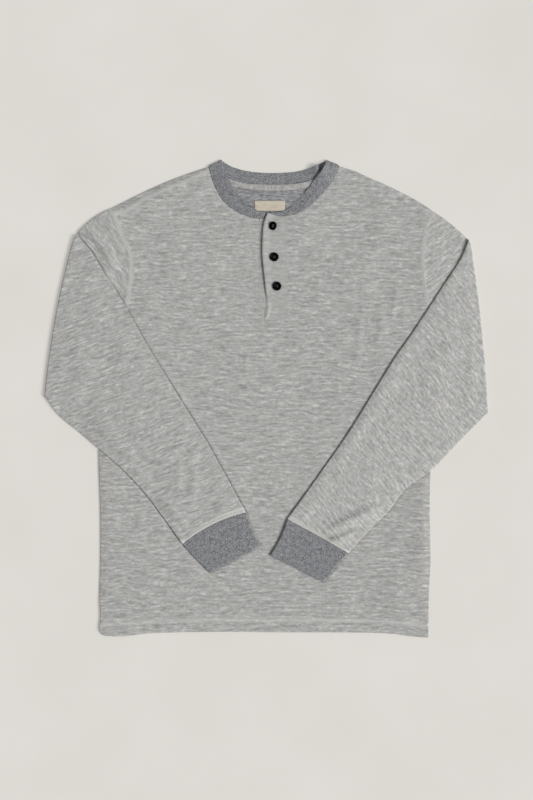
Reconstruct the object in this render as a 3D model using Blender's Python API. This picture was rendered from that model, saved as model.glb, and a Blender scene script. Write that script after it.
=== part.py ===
"""Long-sleeved henley shirt, laid flat on its back with both sleeves folded across the front.

Frame: the cloth lies in the XY plane and +Z is up.  The collar points towards +Y, and the origin is
under the centre of the shirt's bounding box.  The wearer's left is at +X.  Tables and sizes are in
millimetres, and MM turns them into metres as the meshes are made.
"""
import math

import bmesh
import bpy
from mathutils import Vector
from mathutils.geometry import delaunay_2d_cdt

MM = 0.001

# ---------------------------------------------------------------- driving dimensions (millimetres)
CLOTH = 1.2            # wall of one layer of slub jersey
SEAM_GAP = 0.3         # clearance between pieces at a seam, and between layers
RIB_BAND = 1.8         # doubled rib of the neckband
RIB_CUFF = 1.5         # doubled rib of a cuff
TRIM = 1.0             # neck patch, neck tape and label
NECK_LIFT = 1.6        # rise of the front layer round the neck, over the patch
NECK_CENTRE = (12.0, 330.0)
NECK_LIFT_INNER = 70.0   # full rise within this radius of the neck's centre
NECK_LIFT_OUTER = 125.0  # no rise beyond this radius
PANEL_GRID = 24.0      # spacing of the points inside the front panel
CURVE_STEP = 9.0       # spacing of the points along an outline
SLEEVE_SAG = 2.0       # dip of a folded sleeve between the body and its own root
SAG_MARGIN = 8.0       # clearance from the supporting edges before the dip starts
SAG_REACH = 34.0       # distance over which the dip grows to its full depth

PLACKET_NOTCH_RIGHT = -11.5   # edges of the slit that the two placket strips fill
PLACKET_NOTCH_LEFT = 30.0
PLACKET_NOTCH_FOOT = 133.0
PLACKET_FOOT = 127.0
PLACKET_STITCHED_EDGE = 34.8

LABEL_WIDTH = 50.0
LABEL_HEIGHT = 18.0
LABEL_CENTRE_X = 6.4
LABEL_TOP = 316.3

BUTTON_DIAMETER = 14.2
BUTTON_HEIGHT = 2.8
BUTTON_RIM = 2.0
BUTTON_RECESS = 0.9
BUTTON_HOLE = 1.7
BUTTON_HOLE_PITCH = 2.9

# ---------------------------------------------------------------- layer heights (millimetres)
BACK_TOP = CLOTH
FRONT_LOW = BACK_TOP + SEAM_GAP
FRONT_TOP = FRONT_LOW + CLOTH
ROOT_MIDDLE = CLOTH + SEAM_GAP / 2
FOLD_AXIS = FRONT_TOP + SEAM_GAP / 2      # height of the line that a sleeve is folded about
FOLD_ARM = FOLD_AXIS - ROOT_MIDDLE        # from that line to the middle of the folded tube

# ---------------------------------------------------------------- outlines: columns x, y
SHOULDER_RIGHT = ((-91.4, 370.6), (-118.6, 361.6), (-151.8, 349.4), (-194.6, 330.6), (-248.2, 304.0))
ARMHOLE_RIGHT = ((-248.2, 304.0), (-237.0, 281.0), (-229.0, 257.0), (-219.5, 240.0), (-216.0, 218.0),
                 (-216.5, 190.0), (-219.8, 164.8), (-229.0, 128.0), (-243.0, 90.0), (-259.4, 58.6))
SIDE_RIGHT = ((-259.4, 58.6), (-265.0, 0.0), (-268.0, -82.0), (-265.3, -181.0), (-265.1, -257.0),
              (-267.0, -311.0), (-266.4, -362.0), (-262.5, -374.0), (-255.2, -379.2))
HEM = ((-255.2, -379.2), (-228.6, -379.8), (-175.7, -374.6), (-74.7, -372.6), (6.2, -373.4),
       (150.0, -373.8), (214.2, -374.6), (240.0, -378.0), (259.4, -382.2))
SIDE_LEFT = ((259.4, -382.2), (260.6, -308.0), (263.0, -257.0), (261.8, -180.0), (263.0, -117.0),
             (268.0, -30.0), (273.4, 53.8))
ARMHOLE_LEFT = ((268.6, 298.6), (259.5, 284.6), (254.1, 266.4), (249.8, 232.0), (252.2, 189.3),
                (257.4, 149.1), (264.5, 100.0), (273.4, 53.8))
SHOULDER_LEFT = ((268.6, 298.6), (237.4, 318.6), (195.8, 339.7), (165.3, 353.1), (141.9, 363.6),
                 (115.8, 371.8))
PLACKET_EDGE = ((3.8, 297.0), (-0.6, 291.5), (-5.6, 273.9), (-7.2, 251.4), (-7.5, 233.0), (-5.9, 211.7),
                (-3.4, 190.4), (-1.3, 171.8), (1.0, 154.6), (1.6, 142.0), (1.0, 127.0))
PLACKET_HEAD = ((34.8, 290.6), (24.0, 291.0), (14.0, 292.8), (3.8, 297.0))

TAPE_UPPER = ((-62.5, 352.4), (-39.2, 345.6), (-17.0, 343.2), (12.0, 342.3), (42.0, 343.4), (60.0, 346.4),
              (77.0, 351.0))
TAPE_LOWER = ((70.0, 337.4), (46.6, 333.0), (12.6, 331.6), (-17.0, 332.9), (-39.2, 335.4), (-57.0, 339.6))
PATCH_EDGE = ((-60.0, 344.0), (-54.0, 320.0), (-38.0, 296.0), (-14.0, 281.0), (12.0, 276.0), (38.0, 281.0),
              (60.0, 296.0), (71.0, 316.0), (75.0, 342.0))
PATCH_INSET = 0.8      # from the back neck seam to the patch's upper edge

# Neckband: seam and free edge of each section, and the height of the band's middle at both.
#            seam_x  seam_y  edge_x  edge_y  seam_z  edge_z
BAND_FRONT_RIGHT = ((-4.5, 288.2, -0.5, 299.8, 4.4, 8.6),
                    (-17.0, 287.8, -9.0, 302.6, 4.4, 8.8),
                    (-28.8, 291.2, -19.5, 307.4, 4.4, 8.6),
                    (-46.6, 298.6, -32.5, 316.0, 4.3, 7.6),
                    (-68.8, 316.3, -47.5, 329.2, 4.1, 6.3),
                    (-83.5, 343.0, -60.5, 352.4, 3.4, 5.4),
                    (-88.4, 357.0, -65.6, 367.8, 3.1, 3.9),
                    (-91.4, 370.6, -70.4, 380.4, 3.0, 3.1))
BAND_BACK = ((-91.4, 370.6, -70.4, 380.4, 0.9, 0.9),
             (-75.0, 357.0, -63.0, 375.4, 0.9, 0.9),
             (-60.0, 350.0, -53.9, 370.6, 0.9, 0.9),
             (-39.0, 345.0, -36.5, 365.2, 0.9, 0.9),
             (-17.0, 342.5, -15.0, 361.8, 0.9, 0.9),
             (12.0, 341.6, 12.0, 360.6, 0.9, 0.9),
             (42.0, 342.8, 40.0, 362.0, 0.9, 0.9),
             (60.0, 346.0, 57.0, 364.8, 0.9, 0.9),
             (80.0, 352.0, 74.5, 370.4, 0.9, 0.9),
             (100.0, 361.0, 88.0, 376.8, 0.9, 0.9),
             (115.8, 371.8, 95.4, 380.4, 0.9, 0.9))
BAND_FRONT_LEFT = ((115.8, 371.8, 95.4, 380.4, 3.0, 3.1),
                   (108.8, 354.9, 87.6, 366.4, 3.1, 4.6),
                   (97.0, 337.1, 77.4, 350.4, 3.4, 6.2),
                   (79.2, 317.8, 62.6, 330.0, 4.2, 6.8),
                   (60.0, 301.6, 47.4, 317.2, 4.6, 7.6),
                   (42.2, 294.1, 35.0, 308.6, 5.2, 8.4),
                   (24.0, 291.2, 21.0, 303.0, 5.6, 8.6),
                   (10.0, 295.2, 7.0, 301.4, 5.8, 7.6))
BAND_STEPS = 3         # sections between two rows of the tables above
BAND_GAP = 0.36        # from the panels' edge to the band, along the band's slanting width
BAND_ROLL_STEPS = 4    # sections round the fold at each shoulder point

# Folded sleeves: each row is a section across the flattened tube, from the fold to the cuff seam.
# shoulder_* is on the shoulder-side edge, elbow_* on the underarm-side edge, and bow is the section's
# bend to the left of the way from one to the other.
#          shoulder_x shoulder_y elbow_x  elbow_y  bow   puff
SLEEVE_RIGHT_SECTIONS = ((-303.0, 258.0, -352.0, 2.0, -6.0, 0.0),
                         (-279.4, 237.0, -330.6, -27.8, -4.0, 0.5),
                         (-252.6, 194.1, -298.0, -54.5, -1.0, 1.1),
                         (-228.2, 157.8, -265.0, -82.2, 0.0, 1.4),
                         (-184.8, 81.4, -228.2, -114.2, 0.0, 1.5),
                         (-136.3, 1.6, -192.5, -152.6, -1.0, 1.5),
                         (-91.0, -71.5, -164.5, -188.5, -3.0, 1.3),
                         (-31.5, -181.6, -133.6, -232.4, -6.5, 0.6))
SLEEVE_LEFT_SECTIONS = ((321.6, 254.0, 351.9, -24.4, 4.0, 0.0),
                        (310.0, 226.0, 330.7, -46.1, 2.0, 0.5),
                        (282.7, 183.0, 297.0, -79.8, 1.0, 1.1),
                        (233.4, 106.4, 264.0, -112.0, 0.0, 1.4),
                        (202.2, 62.2, 222.2, -142.6, 0.0, 1.5),
                        (134.2, -46.1, 194.2, -180.8, 0.0, 1.5),
                        (88.0, -115.6, 166.2, -208.8, 0.0, 1.3),
                        (34.4, -193.0, 131.0, -246.8, 0.6, 0.6))
SLEEVE_STEPS = 2       # sections between two rows of the tables above
ROOT_STEPS = 4         # sections from the armhole to the fold
FOLD_STEPS = 5         # sections round the fold
TUBE_POINTS = 13       # points across each face of a flattened tube
CAP_BULGE = 5.5        # outward bow of the shoulder line between armhole and fold
ROUND_SHARE = 0.6      # length of a tube's rounded edge as a share of half its thickness

# Cuffs: sections from just past the seam to the end.
#          inner_x  inner_y  outer_x outer_y  bow
CUFF_RIGHT_SECTIONS = ((-27.0, -197.0, -120.8, -247.0, -3.5),
                       (-20.0, -215.0, -105.2, -263.6, -1.5),
                       (-9.9, -233.6, -89.8, -279.0, 0.0))
CUFF_LEFT_SECTIONS = ((28.4, -208.0, 114.8, -263.4, 0.3),
                      (20.4, -226.6, 102.6, -280.2, 0.0),
                      (6.4, -250.1, 90.4, -292.5, 0.0))
CUFF_STEPS = 2
CUFF_PUFF = 0.4

# Soft rises of the front panel where nothing presses on it.
#             x       y     heading  length  width  height
FRONT_FOLDS = ((-125.0, 215.0, -62.0, 170.0, 46.0, 1.3),
               (150.0, 215.0, 58.0, 180.0, 46.0, 1.3),
               (-15.0, 55.0, 80.0, 200.0, 60.0, 1.0),
               (-195.0, -300.0, 75.0, 130.0, 40.0, 1.0),
               (20.0, -320.0, -8.0, 220.0, 40.0, 0.8),
               (205.0, -310.0, 100.0, 150.0, 34.0, 1.2))

# Buttons: centre, tilt about Y in degrees.
#          x     y      tilt
BUTTONS = ((11.4, 276.3, -28.0),
           (13.0, 226.2, 0.0),
           (17.3, 179.5, 0.0))

# ---------------------------------------------------------------- materials
#             red    green  blue   roughness
FINISHES = {
    "slub_jersey": (0.395, 0.390, 0.370, 0.92),
    "rib_knit": (0.213, 0.216, 0.227, 0.95),
    "patch_jersey": (0.225, 0.227, 0.232, 0.93),
    "neck_tape": (0.361, 0.352, 0.340, 0.90),
    "label": (0.515, 0.462, 0.376, 0.80),
    "button": (0.010, 0.011, 0.012, 0.28),
}


def finish(name):
    """One Principled material for each object, in one of the named finishes."""
    red, green, blue, roughness = FINISHES[name]
    material = bpy.data.materials.new(name)
    material.use_nodes = True
    shader = material.node_tree.nodes["Principled BSDF"]
    shader.inputs["Base Color"].default_value = (red, green, blue, 1.0)
    shader.inputs["Roughness"].default_value = roughness
    shader.inputs["Metallic"].default_value = 0.0
    material.diffuse_color = (red, green, blue, 1.0)
    return material


# ---------------------------------------------------------------- curves and heights
def smooth(value, start, end):
    """0 before start, 1 after end, and a smooth rise between them."""
    share = min(1.0, max(0.0, (value - start) / (end - start)))
    return share * share * (3.0 - 2.0 * share)


def catmull(before, first, second, after, share):
    """A point of a Catmull-Rom curve between first and second, for rows of any length."""
    result = []
    for a, b, c, d in zip(before, first, second, after):
        value = 2.0 * b + (c - a) * share
        value += (2.0 * a - 5.0 * b + 4.0 * c - d) * share ** 2
        value += (3.0 * b - a - 3.0 * c + d) * share ** 3
        result.append(0.5 * value)
    return tuple(result)


def smooth_rows(rows, steps):
    """Rows on a smooth curve through the given rows, with a number of steps between each two."""
    result = []
    last = len(rows) - 1
    for index in range(last):
        before = rows[max(index - 1, 0)]
        after = rows[min(index + 2, last)]
        for step in range(steps):
            result.append(catmull(before, rows[index], rows[index + 1], after, step / steps))
    result.append(tuple(rows[last]))
    return result


def curve(points, step=CURVE_STEP):
    """Evenly fine points on a smooth curve through the given points."""
    result = []
    last = len(points) - 1
    for index in range(last):
        length = math.dist(points[index], points[index + 1])
        count = max(1, round(length / step))
        before = points[max(index - 1, 0)]
        after = points[min(index + 2, last)]
        for part in range(count):
            result.append(catmull(before, points[index], points[index + 1], after, part / count))
    result.append(tuple(points[last]))
    return result


def at_share(points, share):
    """The point of a polyline at a share of its length."""
    lengths = [math.dist(a, b) for a, b in zip(points, points[1:])]
    left = share * sum(lengths)
    for index, length in enumerate(lengths):
        if left <= length:
            part = left / length
            start = points[index]
            end = points[index + 1]
            return (start[0] + (end[0] - start[0]) * part, start[1] + (end[1] - start[1]) * part)
        left -= length
    return points[-1]


def moved_out(points, side, gap):
    """A polyline moved by a gap along its own normals, towards +X or -X."""
    result = []
    last = len(points) - 1
    for index, (x, y) in enumerate(points):
        before = points[max(index - 1, 0)]
        after = points[min(index + 1, last)]
        normal = Vector((after[1] - before[1], before[0] - after[0])).normalized()
        if normal.x * side < 0.0:
            normal.negate()
        result.append((x + normal.x * gap, y + normal.y * gap))
    return result


def ring(*parts):
    """A closed outline from curves that follow each other, without repeated points."""
    result = []
    for part in parts:
        for point in part:
            if not result or math.dist(point, result[-1]) > 0.01:
                result.append(point)
    if math.dist(result[0], result[-1]) < 0.01:
        result.pop()
    return result


def neck_lift(x, y):
    """Rise of the front layer over the neck patch."""
    radius = math.dist((x, y), NECK_CENTRE)
    return NECK_LIFT * (1.0 - smooth(radius, NECK_LIFT_INNER, NECK_LIFT_OUTER))


def front_folds(x, y):
    """Rise of the front panel in its soft folds."""
    height = 0.0
    for fold_x, fold_y, heading, length, width, rise in FRONT_FOLDS:
        along_x = math.cos(math.radians(heading))
        along_y = math.sin(math.radians(heading))
        along = (x - fold_x) * along_x + (y - fold_y) * along_y
        across = (y - fold_y) * along_x - (x - fold_x) * along_y
        height += rise * (1.0 - smooth(abs(along), 0.0, length / 2)) * (1.0 - smooth(abs(across), 0.0, width))
    return height


def front_low(x, y):
    """Underside of the front panel."""
    return FRONT_LOW + neck_lift(x, y) + front_folds(x, y)


def front_top(x, y):
    """Upper side of the front panel."""
    return front_low(x, y) + CLOTH


def placket_low(x, y):
    """Underside of the upper placket strip."""
    return front_top(x, y) + SEAM_GAP


def placket_top(x, y):
    """Upper side of the upper placket strip."""
    return placket_low(x, y) + CLOTH


def level(height):
    """A flat surface at one height."""
    return lambda x, y: height


# ---------------------------------------------------------------- meshes
def new_object(name, mesh_maker, finish_name):
    """An object in the scene whose mesh a bmesh function fills."""
    mesh = bpy.data.meshes.new(name)
    shape = bmesh.new()
    mesh_maker(shape)
    bmesh.ops.recalc_face_normals(shape, faces=shape.faces)
    shape.to_mesh(mesh)
    shape.free()
    mesh.materials.append(finish(finish_name))
    mesh.shade_smooth()
    mesh.set_sharp_from_angle(angle=math.radians(40.0))
    piece = bpy.data.objects.new(name, mesh)
    bpy.context.collection.objects.link(piece)
    return piece


def inside(point, outline):
    """Whether a point lies inside a closed outline."""
    x, y = point
    crossings = 0
    for (x1, y1), (x2, y2) in zip(outline, outline[1:] + outline[:1]):
        if (y1 > y) != (y2 > y) and x < x1 + (x2 - x1) * (y - y1) / (y2 - y1):
            crossings += 1
    return crossings % 2 == 1


def edge_distance(point, outline):
    """Distance from a point to the nearest corner of an outline."""
    return min(math.dist(point, corner) for corner in outline)


def grid_points(outline, spacing):
    """A staggered grid of points inside an outline, clear of its edge."""
    left = min(x for x, y in outline)
    right = max(x for x, y in outline)
    bottom = min(y for x, y in outline)
    top = max(y for x, y in outline)
    result = []
    rows = int((top - bottom) / spacing) + 1
    columns = int((right - left) / spacing) + 1
    for row in range(rows):
        for column in range(columns):
            point = (left + (column + 0.5 * (row % 2)) * spacing, bottom + (row + 0.5) * spacing)
            if inside(point, outline) and edge_distance(point, outline) > spacing * 0.45:
                result.append(point)
    return result


def slab(name, outline, low, high, finish_name, points=(), holes=()):
    """A piece of cloth or a disc between two height functions over one outline."""
    corners = list(outline)
    edges = [(i, (i + 1) % len(outline)) for i in range(len(outline))]
    for hole in holes:
        first = len(corners)
        corners += hole
        edges += [(first + i, first + (i + 1) % len(hole)) for i in range(len(hole))]
    corners += points
    flat = delaunay_2d_cdt([Vector(corner) for corner in corners], edges, [], 1, 1e-5)
    places = [(place.x, place.y) for place in flat[0]]
    faces = []
    for face in flat[2]:
        centre = (sum(places[i][0] for i in face) / 3, sum(places[i][1] for i in face) / 3)
        if inside(centre, outline) and not any(inside(centre, hole) for hole in holes):
            faces.append(face)

    def fill(shape):
        lower = [shape.verts.new((x * MM, y * MM, low(x, y) * MM)) for x, y in places]
        upper = [shape.verts.new((x * MM, y * MM, high(x, y) * MM)) for x, y in places]
        sides = {}
        for face in faces:
            shape.faces.new([lower[i] for i in reversed(face)])
            shape.faces.new([upper[i] for i in face])
            for start, end in zip(face, face[1:] + face[:1]):
                sides[(start, end)] = True
        for start, end in sides:
            if (end, start) not in sides:
                shape.faces.new((lower[start], lower[end], upper[end], upper[start]))
        loose = [vert for vert in shape.verts if not vert.link_faces]
        bmesh.ops.delete(shape, geom=loose, context="VERTS")

    return new_object(name, fill, finish_name)


def bridge(shape, rings):
    """Faces between rings of equal length that follow each other."""
    count = len(rings[0])
    for ring_a, ring_b in zip(rings, rings[1:]):
        for i in range(count):
            j = (i + 1) % count
            shape.faces.new((ring_a[i], ring_a[j], ring_b[j], ring_b[i]))


def new_rings(shape, sections):
    """Vertices for each section of a skin."""
    return [[shape.verts.new((x * MM, y * MM, z * MM)) for x, y, z in section] for section in sections]


def strip(name, sections, finish_name):
    """A solid strip through sections of equal length, capped at both ends."""

    def fill(shape):
        rings = new_rings(shape, sections)
        bridge(shape, rings)
        shape.faces.new(rings[0])
        shape.faces.new(rings[-1])

    return new_object(name, fill, finish_name)


def tube(name, outer, inner, finish_name):
    """An open-ended flattened tube: outer and inner skins, joined by a rim at each end."""

    def fill(shape):
        outside = new_rings(shape, outer)
        lining = new_rings(shape, inner)
        bridge(shape, outside)
        bridge(shape, lining)
        bridge(shape, (outside[0], lining[0]))
        bridge(shape, (outside[-1], lining[-1]))

    return new_object(name, fill, finish_name)


# ---------------------------------------------------------------- flattened tubes
def across(width, inset):
    """Distances of the points of one face of a flattened tube, from its shoulder edge."""
    span = width - 2.0 * inset
    return [inset + span * i / (TUBE_POINTS - 1) for i in range(TUBE_POINTS)]


def tube_loops(wall, width, puff):
    """Outer and inner loops of a flattened tube: (distance from the shoulder edge, height) pairs.

    Height is measured from the middle of the pressed tube, positive on the face that bears puff.
    """
    half = wall + SEAM_GAP / 2
    outer_places = across(width, half * ROUND_SHARE)
    inner_places = across(width, wall + SEAM_GAP)
    rises = [puff * math.sin(math.pi * i / (TUBE_POINTS - 1)) for i in range(TUBE_POINTS)]
    outer = [(0.0, 0.0)]
    outer += [(place, half + rise) for place, rise in zip(outer_places, rises)]
    outer.append((width, 0.0))
    outer += [(place, -half) for place in reversed(outer_places)]
    inner = [(wall, 0.0)]
    inner += [(place, SEAM_GAP / 2 + rise) for place, rise in zip(inner_places, rises)]
    inner.append((width - wall, 0.0))
    inner += [(place, -SEAM_GAP / 2) for place in reversed(inner_places)]
    return outer, inner


def armhole_line(armhole, rows):
    """An armhole, shoulder to underarm, with the points of the sleeve that is sewn to it."""
    start = (rows[0][0], rows[0][1])
    end = (rows[0][2], rows[0][3])
    width = math.dist(start, end)
    fine = curve(armhole, 2.0)
    inset = (CLOTH + SEAM_GAP / 2) * ROUND_SHARE
    places = [0.0, *across(width, inset), width]
    return [at_share(fine, place / width) for place in places]


def bowed(start, end, bow):
    """A function from a distance along start-end to a point, bowed to the left of that direction."""
    length = math.dist(start, end)
    along = ((end[0] - start[0]) / length, (end[1] - start[1]) / length)

    def place(distance):
        share = distance / length
        offset = bow * 4.0 * share * (1.0 - share)
        return (start[0] + along[0] * distance - along[1] * offset,
                start[1] + along[1] * distance + along[0] * offset)

    return place, length


def sleeve(name, side, armhole, rows):
    """A sleeve: a flattened tube from the armhole, folded over and laid across the front.

    side is -1 for the wearer's right sleeve and 1 for the left one.
    """
    edge = moved_out(armhole_line(armhole, rows), side, SEAM_GAP)
    underarm = edge[-1]
    first = rows[0]
    fold_start = (first[0], first[1])
    fold_end = (first[2], first[3])
    fold_place, fold_length = bowed(fold_start, fold_end, first[4])
    outward = Vector((fold_end[1] - fold_start[1], fold_start[0] - fold_end[0])).normalized()
    if outward.x * side < 0.0:
        outward.negate()
    root_edge = Vector((fold_end[0] - underarm[0], fold_end[1] - underarm[1])).normalized()
    root_below = Vector((root_edge.y, -root_edge.x))
    if root_below.y > 0.0:
        root_below.negate()

    def sag(x, y):
        past_side = (x - underarm[0]) * side - SAG_MARGIN
        past_root = (x - underarm[0]) * root_below.x + (y - underarm[1]) * root_below.y - SAG_MARGIN
        return SLEEVE_SAG * smooth(min(past_side, past_root), 0.0, SAG_REACH)

    outer_rings = []
    inner_rings = []

    def add(place, length, puff, angle, hangs):
        loops = tube_loops(CLOTH, length, puff)
        for loop, rings in zip(loops, (outer_rings, inner_rings)):
            section = []
            for distance, height in loop:
                x, y = place(distance)
                arm = FOLD_ARM + height
                reach = arm * math.sin(angle)
                drop = sag(x, y) if hangs else 0.0
                z = FOLD_AXIS - arm * math.cos(angle) - drop
                section.append((x + outward.x * reach, y + outward.y * reach, z))
            rings.append(section)

    for step in range(ROOT_STEPS):
        share = step / ROOT_STEPS

        def root_place(distance, share=share):
            part = distance / fold_length
            on_armhole = at_share(edge, part)
            on_fold = fold_place(distance)
            bulge = CAP_BULGE * 4.0 * share * (1.0 - share) * (1.0 - part) ** 2
            x = on_armhole[0] * (1.0 - share) + on_fold[0] * share
            y = on_armhole[1] * (1.0 - share) + on_fold[1] * share
            return (x + bulge * side * 0.5, y + bulge * 0.87)

        add(root_place, fold_length, 0.0, 0.0, False)
    for step in range(FOLD_STEPS + 1):
        add(fold_place, fold_length, 0.0, math.pi * step / FOLD_STEPS, False)
    for shoulder_x, shoulder_y, elbow_x, elbow_y, bow, puff in smooth_rows(rows, SLEEVE_STEPS)[1:]:
        place, length = bowed((shoulder_x, shoulder_y), (elbow_x, elbow_y), bow)
        add(place, length, puff, math.pi, True)
    return tube(name, outer_rings, inner_rings, "slub_jersey")


def cuff(name, sleeve_rows, rows):
    """A rib cuff: a flattened tube that lies on the front panel beyond the sleeve's end."""
    seam = sleeve_rows[-1]
    end = rows[-1]
    away = Vector((seam[3] - seam[1], seam[0] - seam[2])).normalized()
    if away.dot(Vector((end[0] - seam[0], end[1] - seam[1]))) < 0.0:
        away.negate()
    away *= SEAM_GAP
    start = (seam[0] + away.x, seam[1] + away.y, seam[2] + away.x, seam[3] + away.y, seam[4])
    middle = FRONT_TOP + SEAM_GAP + RIB_CUFF + SEAM_GAP / 2
    outer_rings = []
    inner_rings = []
    for inner_x, inner_y, outer_x, outer_y, bow in smooth_rows((start, *rows), CUFF_STEPS):
        place, length = bowed((inner_x, inner_y), (outer_x, outer_y), bow)
        loops = tube_loops(RIB_CUFF, length, CUFF_PUFF)
        for loop, rings in zip(loops, (outer_rings, inner_rings)):
            rings.append([(*place(distance), middle + height) for distance, height in loop])
    return tube(name, outer_rings, inner_rings, "rib_knit")


# ---------------------------------------------------------------- neckband
def band_section(row, roll, outward):
    """Corners of the band's section, rolled about its own width from face up to face down."""
    seam_x, seam_y, edge_x, edge_y, seam_z, edge_z = row
    edge = Vector((edge_x, edge_y, edge_z))
    seam = Vector((seam_x, seam_y, seam_z))
    seam += (edge - seam).normalized() * BAND_GAP
    face = Vector((*(outward * math.sin(roll)), math.cos(roll)))
    thick = face * (RIB_BAND / 2)
    middle = (seam + edge) / 2
    return [tuple(point) for point in (seam + thick, middle + thick, edge + thick,
                                       edge - thick, middle - thick, seam - thick)]


def band_roll(front_row, back_row, outward):
    """Sections round the fold at a shoulder point, from the front layer to the back layer."""
    sections = []
    seam_x = (front_row[0] + back_row[0]) / 2
    seam_y = (front_row[1] + back_row[1]) / 2
    edge_x = (front_row[2] + back_row[2]) / 2
    edge_y = (front_row[3] + back_row[3]) / 2
    axis = (front_row[4] + back_row[4]) / 2
    arm = (front_row[4] - back_row[4]) / 2
    for step in range(1, BAND_ROLL_STEPS):
        roll = math.pi * step / BAND_ROLL_STEPS
        shift_x = outward[0] * arm * math.sin(roll)
        shift_y = outward[1] * arm * math.sin(roll)
        height = axis + arm * math.cos(roll)
        row = (seam_x + shift_x, seam_y + shift_y, edge_x + shift_x, edge_y + shift_y, height, height)
        sections.append(band_section(row, roll, outward))
    return sections


def neckband():
    """The rib neckband, one strip from placket to placket round the back of the neck."""
    sections = []
    right_tip = BAND_FRONT_RIGHT[-1]
    left_tip = BAND_FRONT_LEFT[0]
    outward_right = Vector((right_tip[1] - right_tip[3], right_tip[2] - right_tip[0])).normalized()
    outward_left = Vector((left_tip[3] - left_tip[1], left_tip[0] - left_tip[2])).normalized()
    for row in smooth_rows(BAND_FRONT_RIGHT, BAND_STEPS):
        sections.append(band_section(row, 0.0, outward_right))
    sections += band_roll(right_tip, BAND_BACK[0], outward_right)
    for row in smooth_rows(BAND_BACK, BAND_STEPS):
        sections.append(band_section(row, math.pi, outward_right))
    sections += reversed(band_roll(left_tip, BAND_BACK[-1], outward_left))
    for row in smooth_rows(BAND_FRONT_LEFT, BAND_STEPS):
        sections.append(band_section(row, 0.0, outward_left))
    return strip("neckband", sections, "rib_knit")


# ---------------------------------------------------------------- flat pieces
def seam_of(rows):
    """The seam's side of the neckband, which is also the edge of the panel."""
    return [(row[0], row[1]) for row in smooth_rows(rows, BAND_STEPS)]


def body_edge():
    """The edge that back and front share, from the right shoulder point round the hem to the left one."""
    return [*curve(SHOULDER_RIGHT), *armhole_line(ARMHOLE_RIGHT, SLEEVE_RIGHT_SECTIONS),
            *curve(SIDE_RIGHT), *curve(HEM), *curve(SIDE_LEFT),
            *armhole_line(ARMHOLE_LEFT, SLEEVE_LEFT_SECTIONS)[::-1], *curve(SHOULDER_LEFT)]


def back_panel():
    """The back, flat on the surface, cut high at the neck."""
    outline = ring(body_edge(), seam_of(BAND_BACK)[::-1])
    return slab("back_panel", outline, level(0.0), level(BACK_TOP), "slub_jersey")


def front_panel():
    """The front, on the back, with its round neck and the slit for the placket."""
    neck_left = [point for point in seam_of(BAND_FRONT_LEFT) if point[0] > PLACKET_NOTCH_LEFT + 1.0]
    neck_right = [point for point in seam_of(BAND_FRONT_RIGHT) if point[0] < PLACKET_NOTCH_RIGHT - 1.0]
    notch = [(PLACKET_NOTCH_LEFT, neck_left[-1][1]), (PLACKET_NOTCH_LEFT, PLACKET_NOTCH_FOOT),
             (PLACKET_NOTCH_RIGHT, PLACKET_NOTCH_FOOT), (PLACKET_NOTCH_RIGHT, neck_right[0][1])]
    slit = []
    for start, end in zip(notch, notch[1:]):
        count = max(1, round(math.dist(start, end) / (2.0 * CURVE_STEP)))
        slit += [(start[0] + (end[0] - start[0]) * i / count, start[1] + (end[1] - start[1]) * i / count)
                 for i in range(count)]
    slit.append(notch[-1])
    outline = ring(body_edge(), neck_left, slit, neck_right)
    return slab("front_panel", outline, front_low, front_top, "slub_jersey",
                points=grid_points(outline, PANEL_GRID))


def placket_lower():
    """The underlap: the strip that fills the slit and carries the buttonhole side."""
    right = PLACKET_NOTCH_RIGHT + SEAM_GAP
    left = PLACKET_NOTCH_LEFT - SEAM_GAP
    foot = PLACKET_NOTCH_FOOT + SEAM_GAP
    outline = ring(curve(((right, foot), (left, foot))), curve(((left, foot), (left, 287.0)), 18.0),
                   curve(((left, 287.0), (right, 287.0))), curve(((right, 287.0), (right, foot)), 18.0))
    return slab("placket_lower", outline, front_low, front_top, "slub_jersey")


def placket_upper():
    """The overlap: the strip on top, stitched down along one edge and bowed open along the other."""
    foot_left = (PLACKET_STITCHED_EDGE, PLACKET_FOOT)
    outline = ring(curve(PLACKET_EDGE), [(18.0, PLACKET_FOOT)],
                   curve((foot_left, PLACKET_HEAD[0]), 18.0), curve(PLACKET_HEAD))
    return slab("placket_upper", outline, placket_low, placket_top, "slub_jersey")


def neck_patch():
    """The half-moon patch inside the back neck."""
    left = PATCH_EDGE[-1][0]
    right = PATCH_EDGE[0][0]
    head = [(x, y - PATCH_INSET) for x, y in seam_of(BAND_BACK)[::-1] if right < x < left]
    outline = ring(curve(PATCH_EDGE), head)
    low = BACK_TOP + SEAM_GAP
    return slab("neck_patch", outline, level(low), level(low + TRIM), "patch_jersey")


def neck_tape():
    """The tape that covers the back neck seam."""
    outline = ring(curve(TAPE_UPPER), curve(TAPE_LOWER))
    low = BACK_TOP + SEAM_GAP + TRIM + SEAM_GAP
    return slab("neck_tape", outline, level(low), level(low + TRIM), "neck_tape")


def neck_label():
    """The plain label below the tape."""
    right = LABEL_CENTRE_X - LABEL_WIDTH / 2
    left = LABEL_CENTRE_X + LABEL_WIDTH / 2
    foot = LABEL_TOP - LABEL_HEIGHT
    outline = ring(curve(((right, foot), (left, foot))), curve(((left, foot), (left, LABEL_TOP))),
                   curve(((left, LABEL_TOP), (right, LABEL_TOP))), curve(((right, LABEL_TOP), (right, foot))))
    low = BACK_TOP + SEAM_GAP + TRIM + SEAM_GAP
    return slab("neck_label", outline, level(low), level(low + TRIM), "label")


# ---------------------------------------------------------------- buttons
def circle(radius, count, x=0.0, y=0.0):
    """Points on a circle."""
    return [(x + radius * math.cos(2.0 * math.pi * i / count), y + radius * math.sin(2.0 * math.pi * i / count))
            for i in range(count)]


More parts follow.
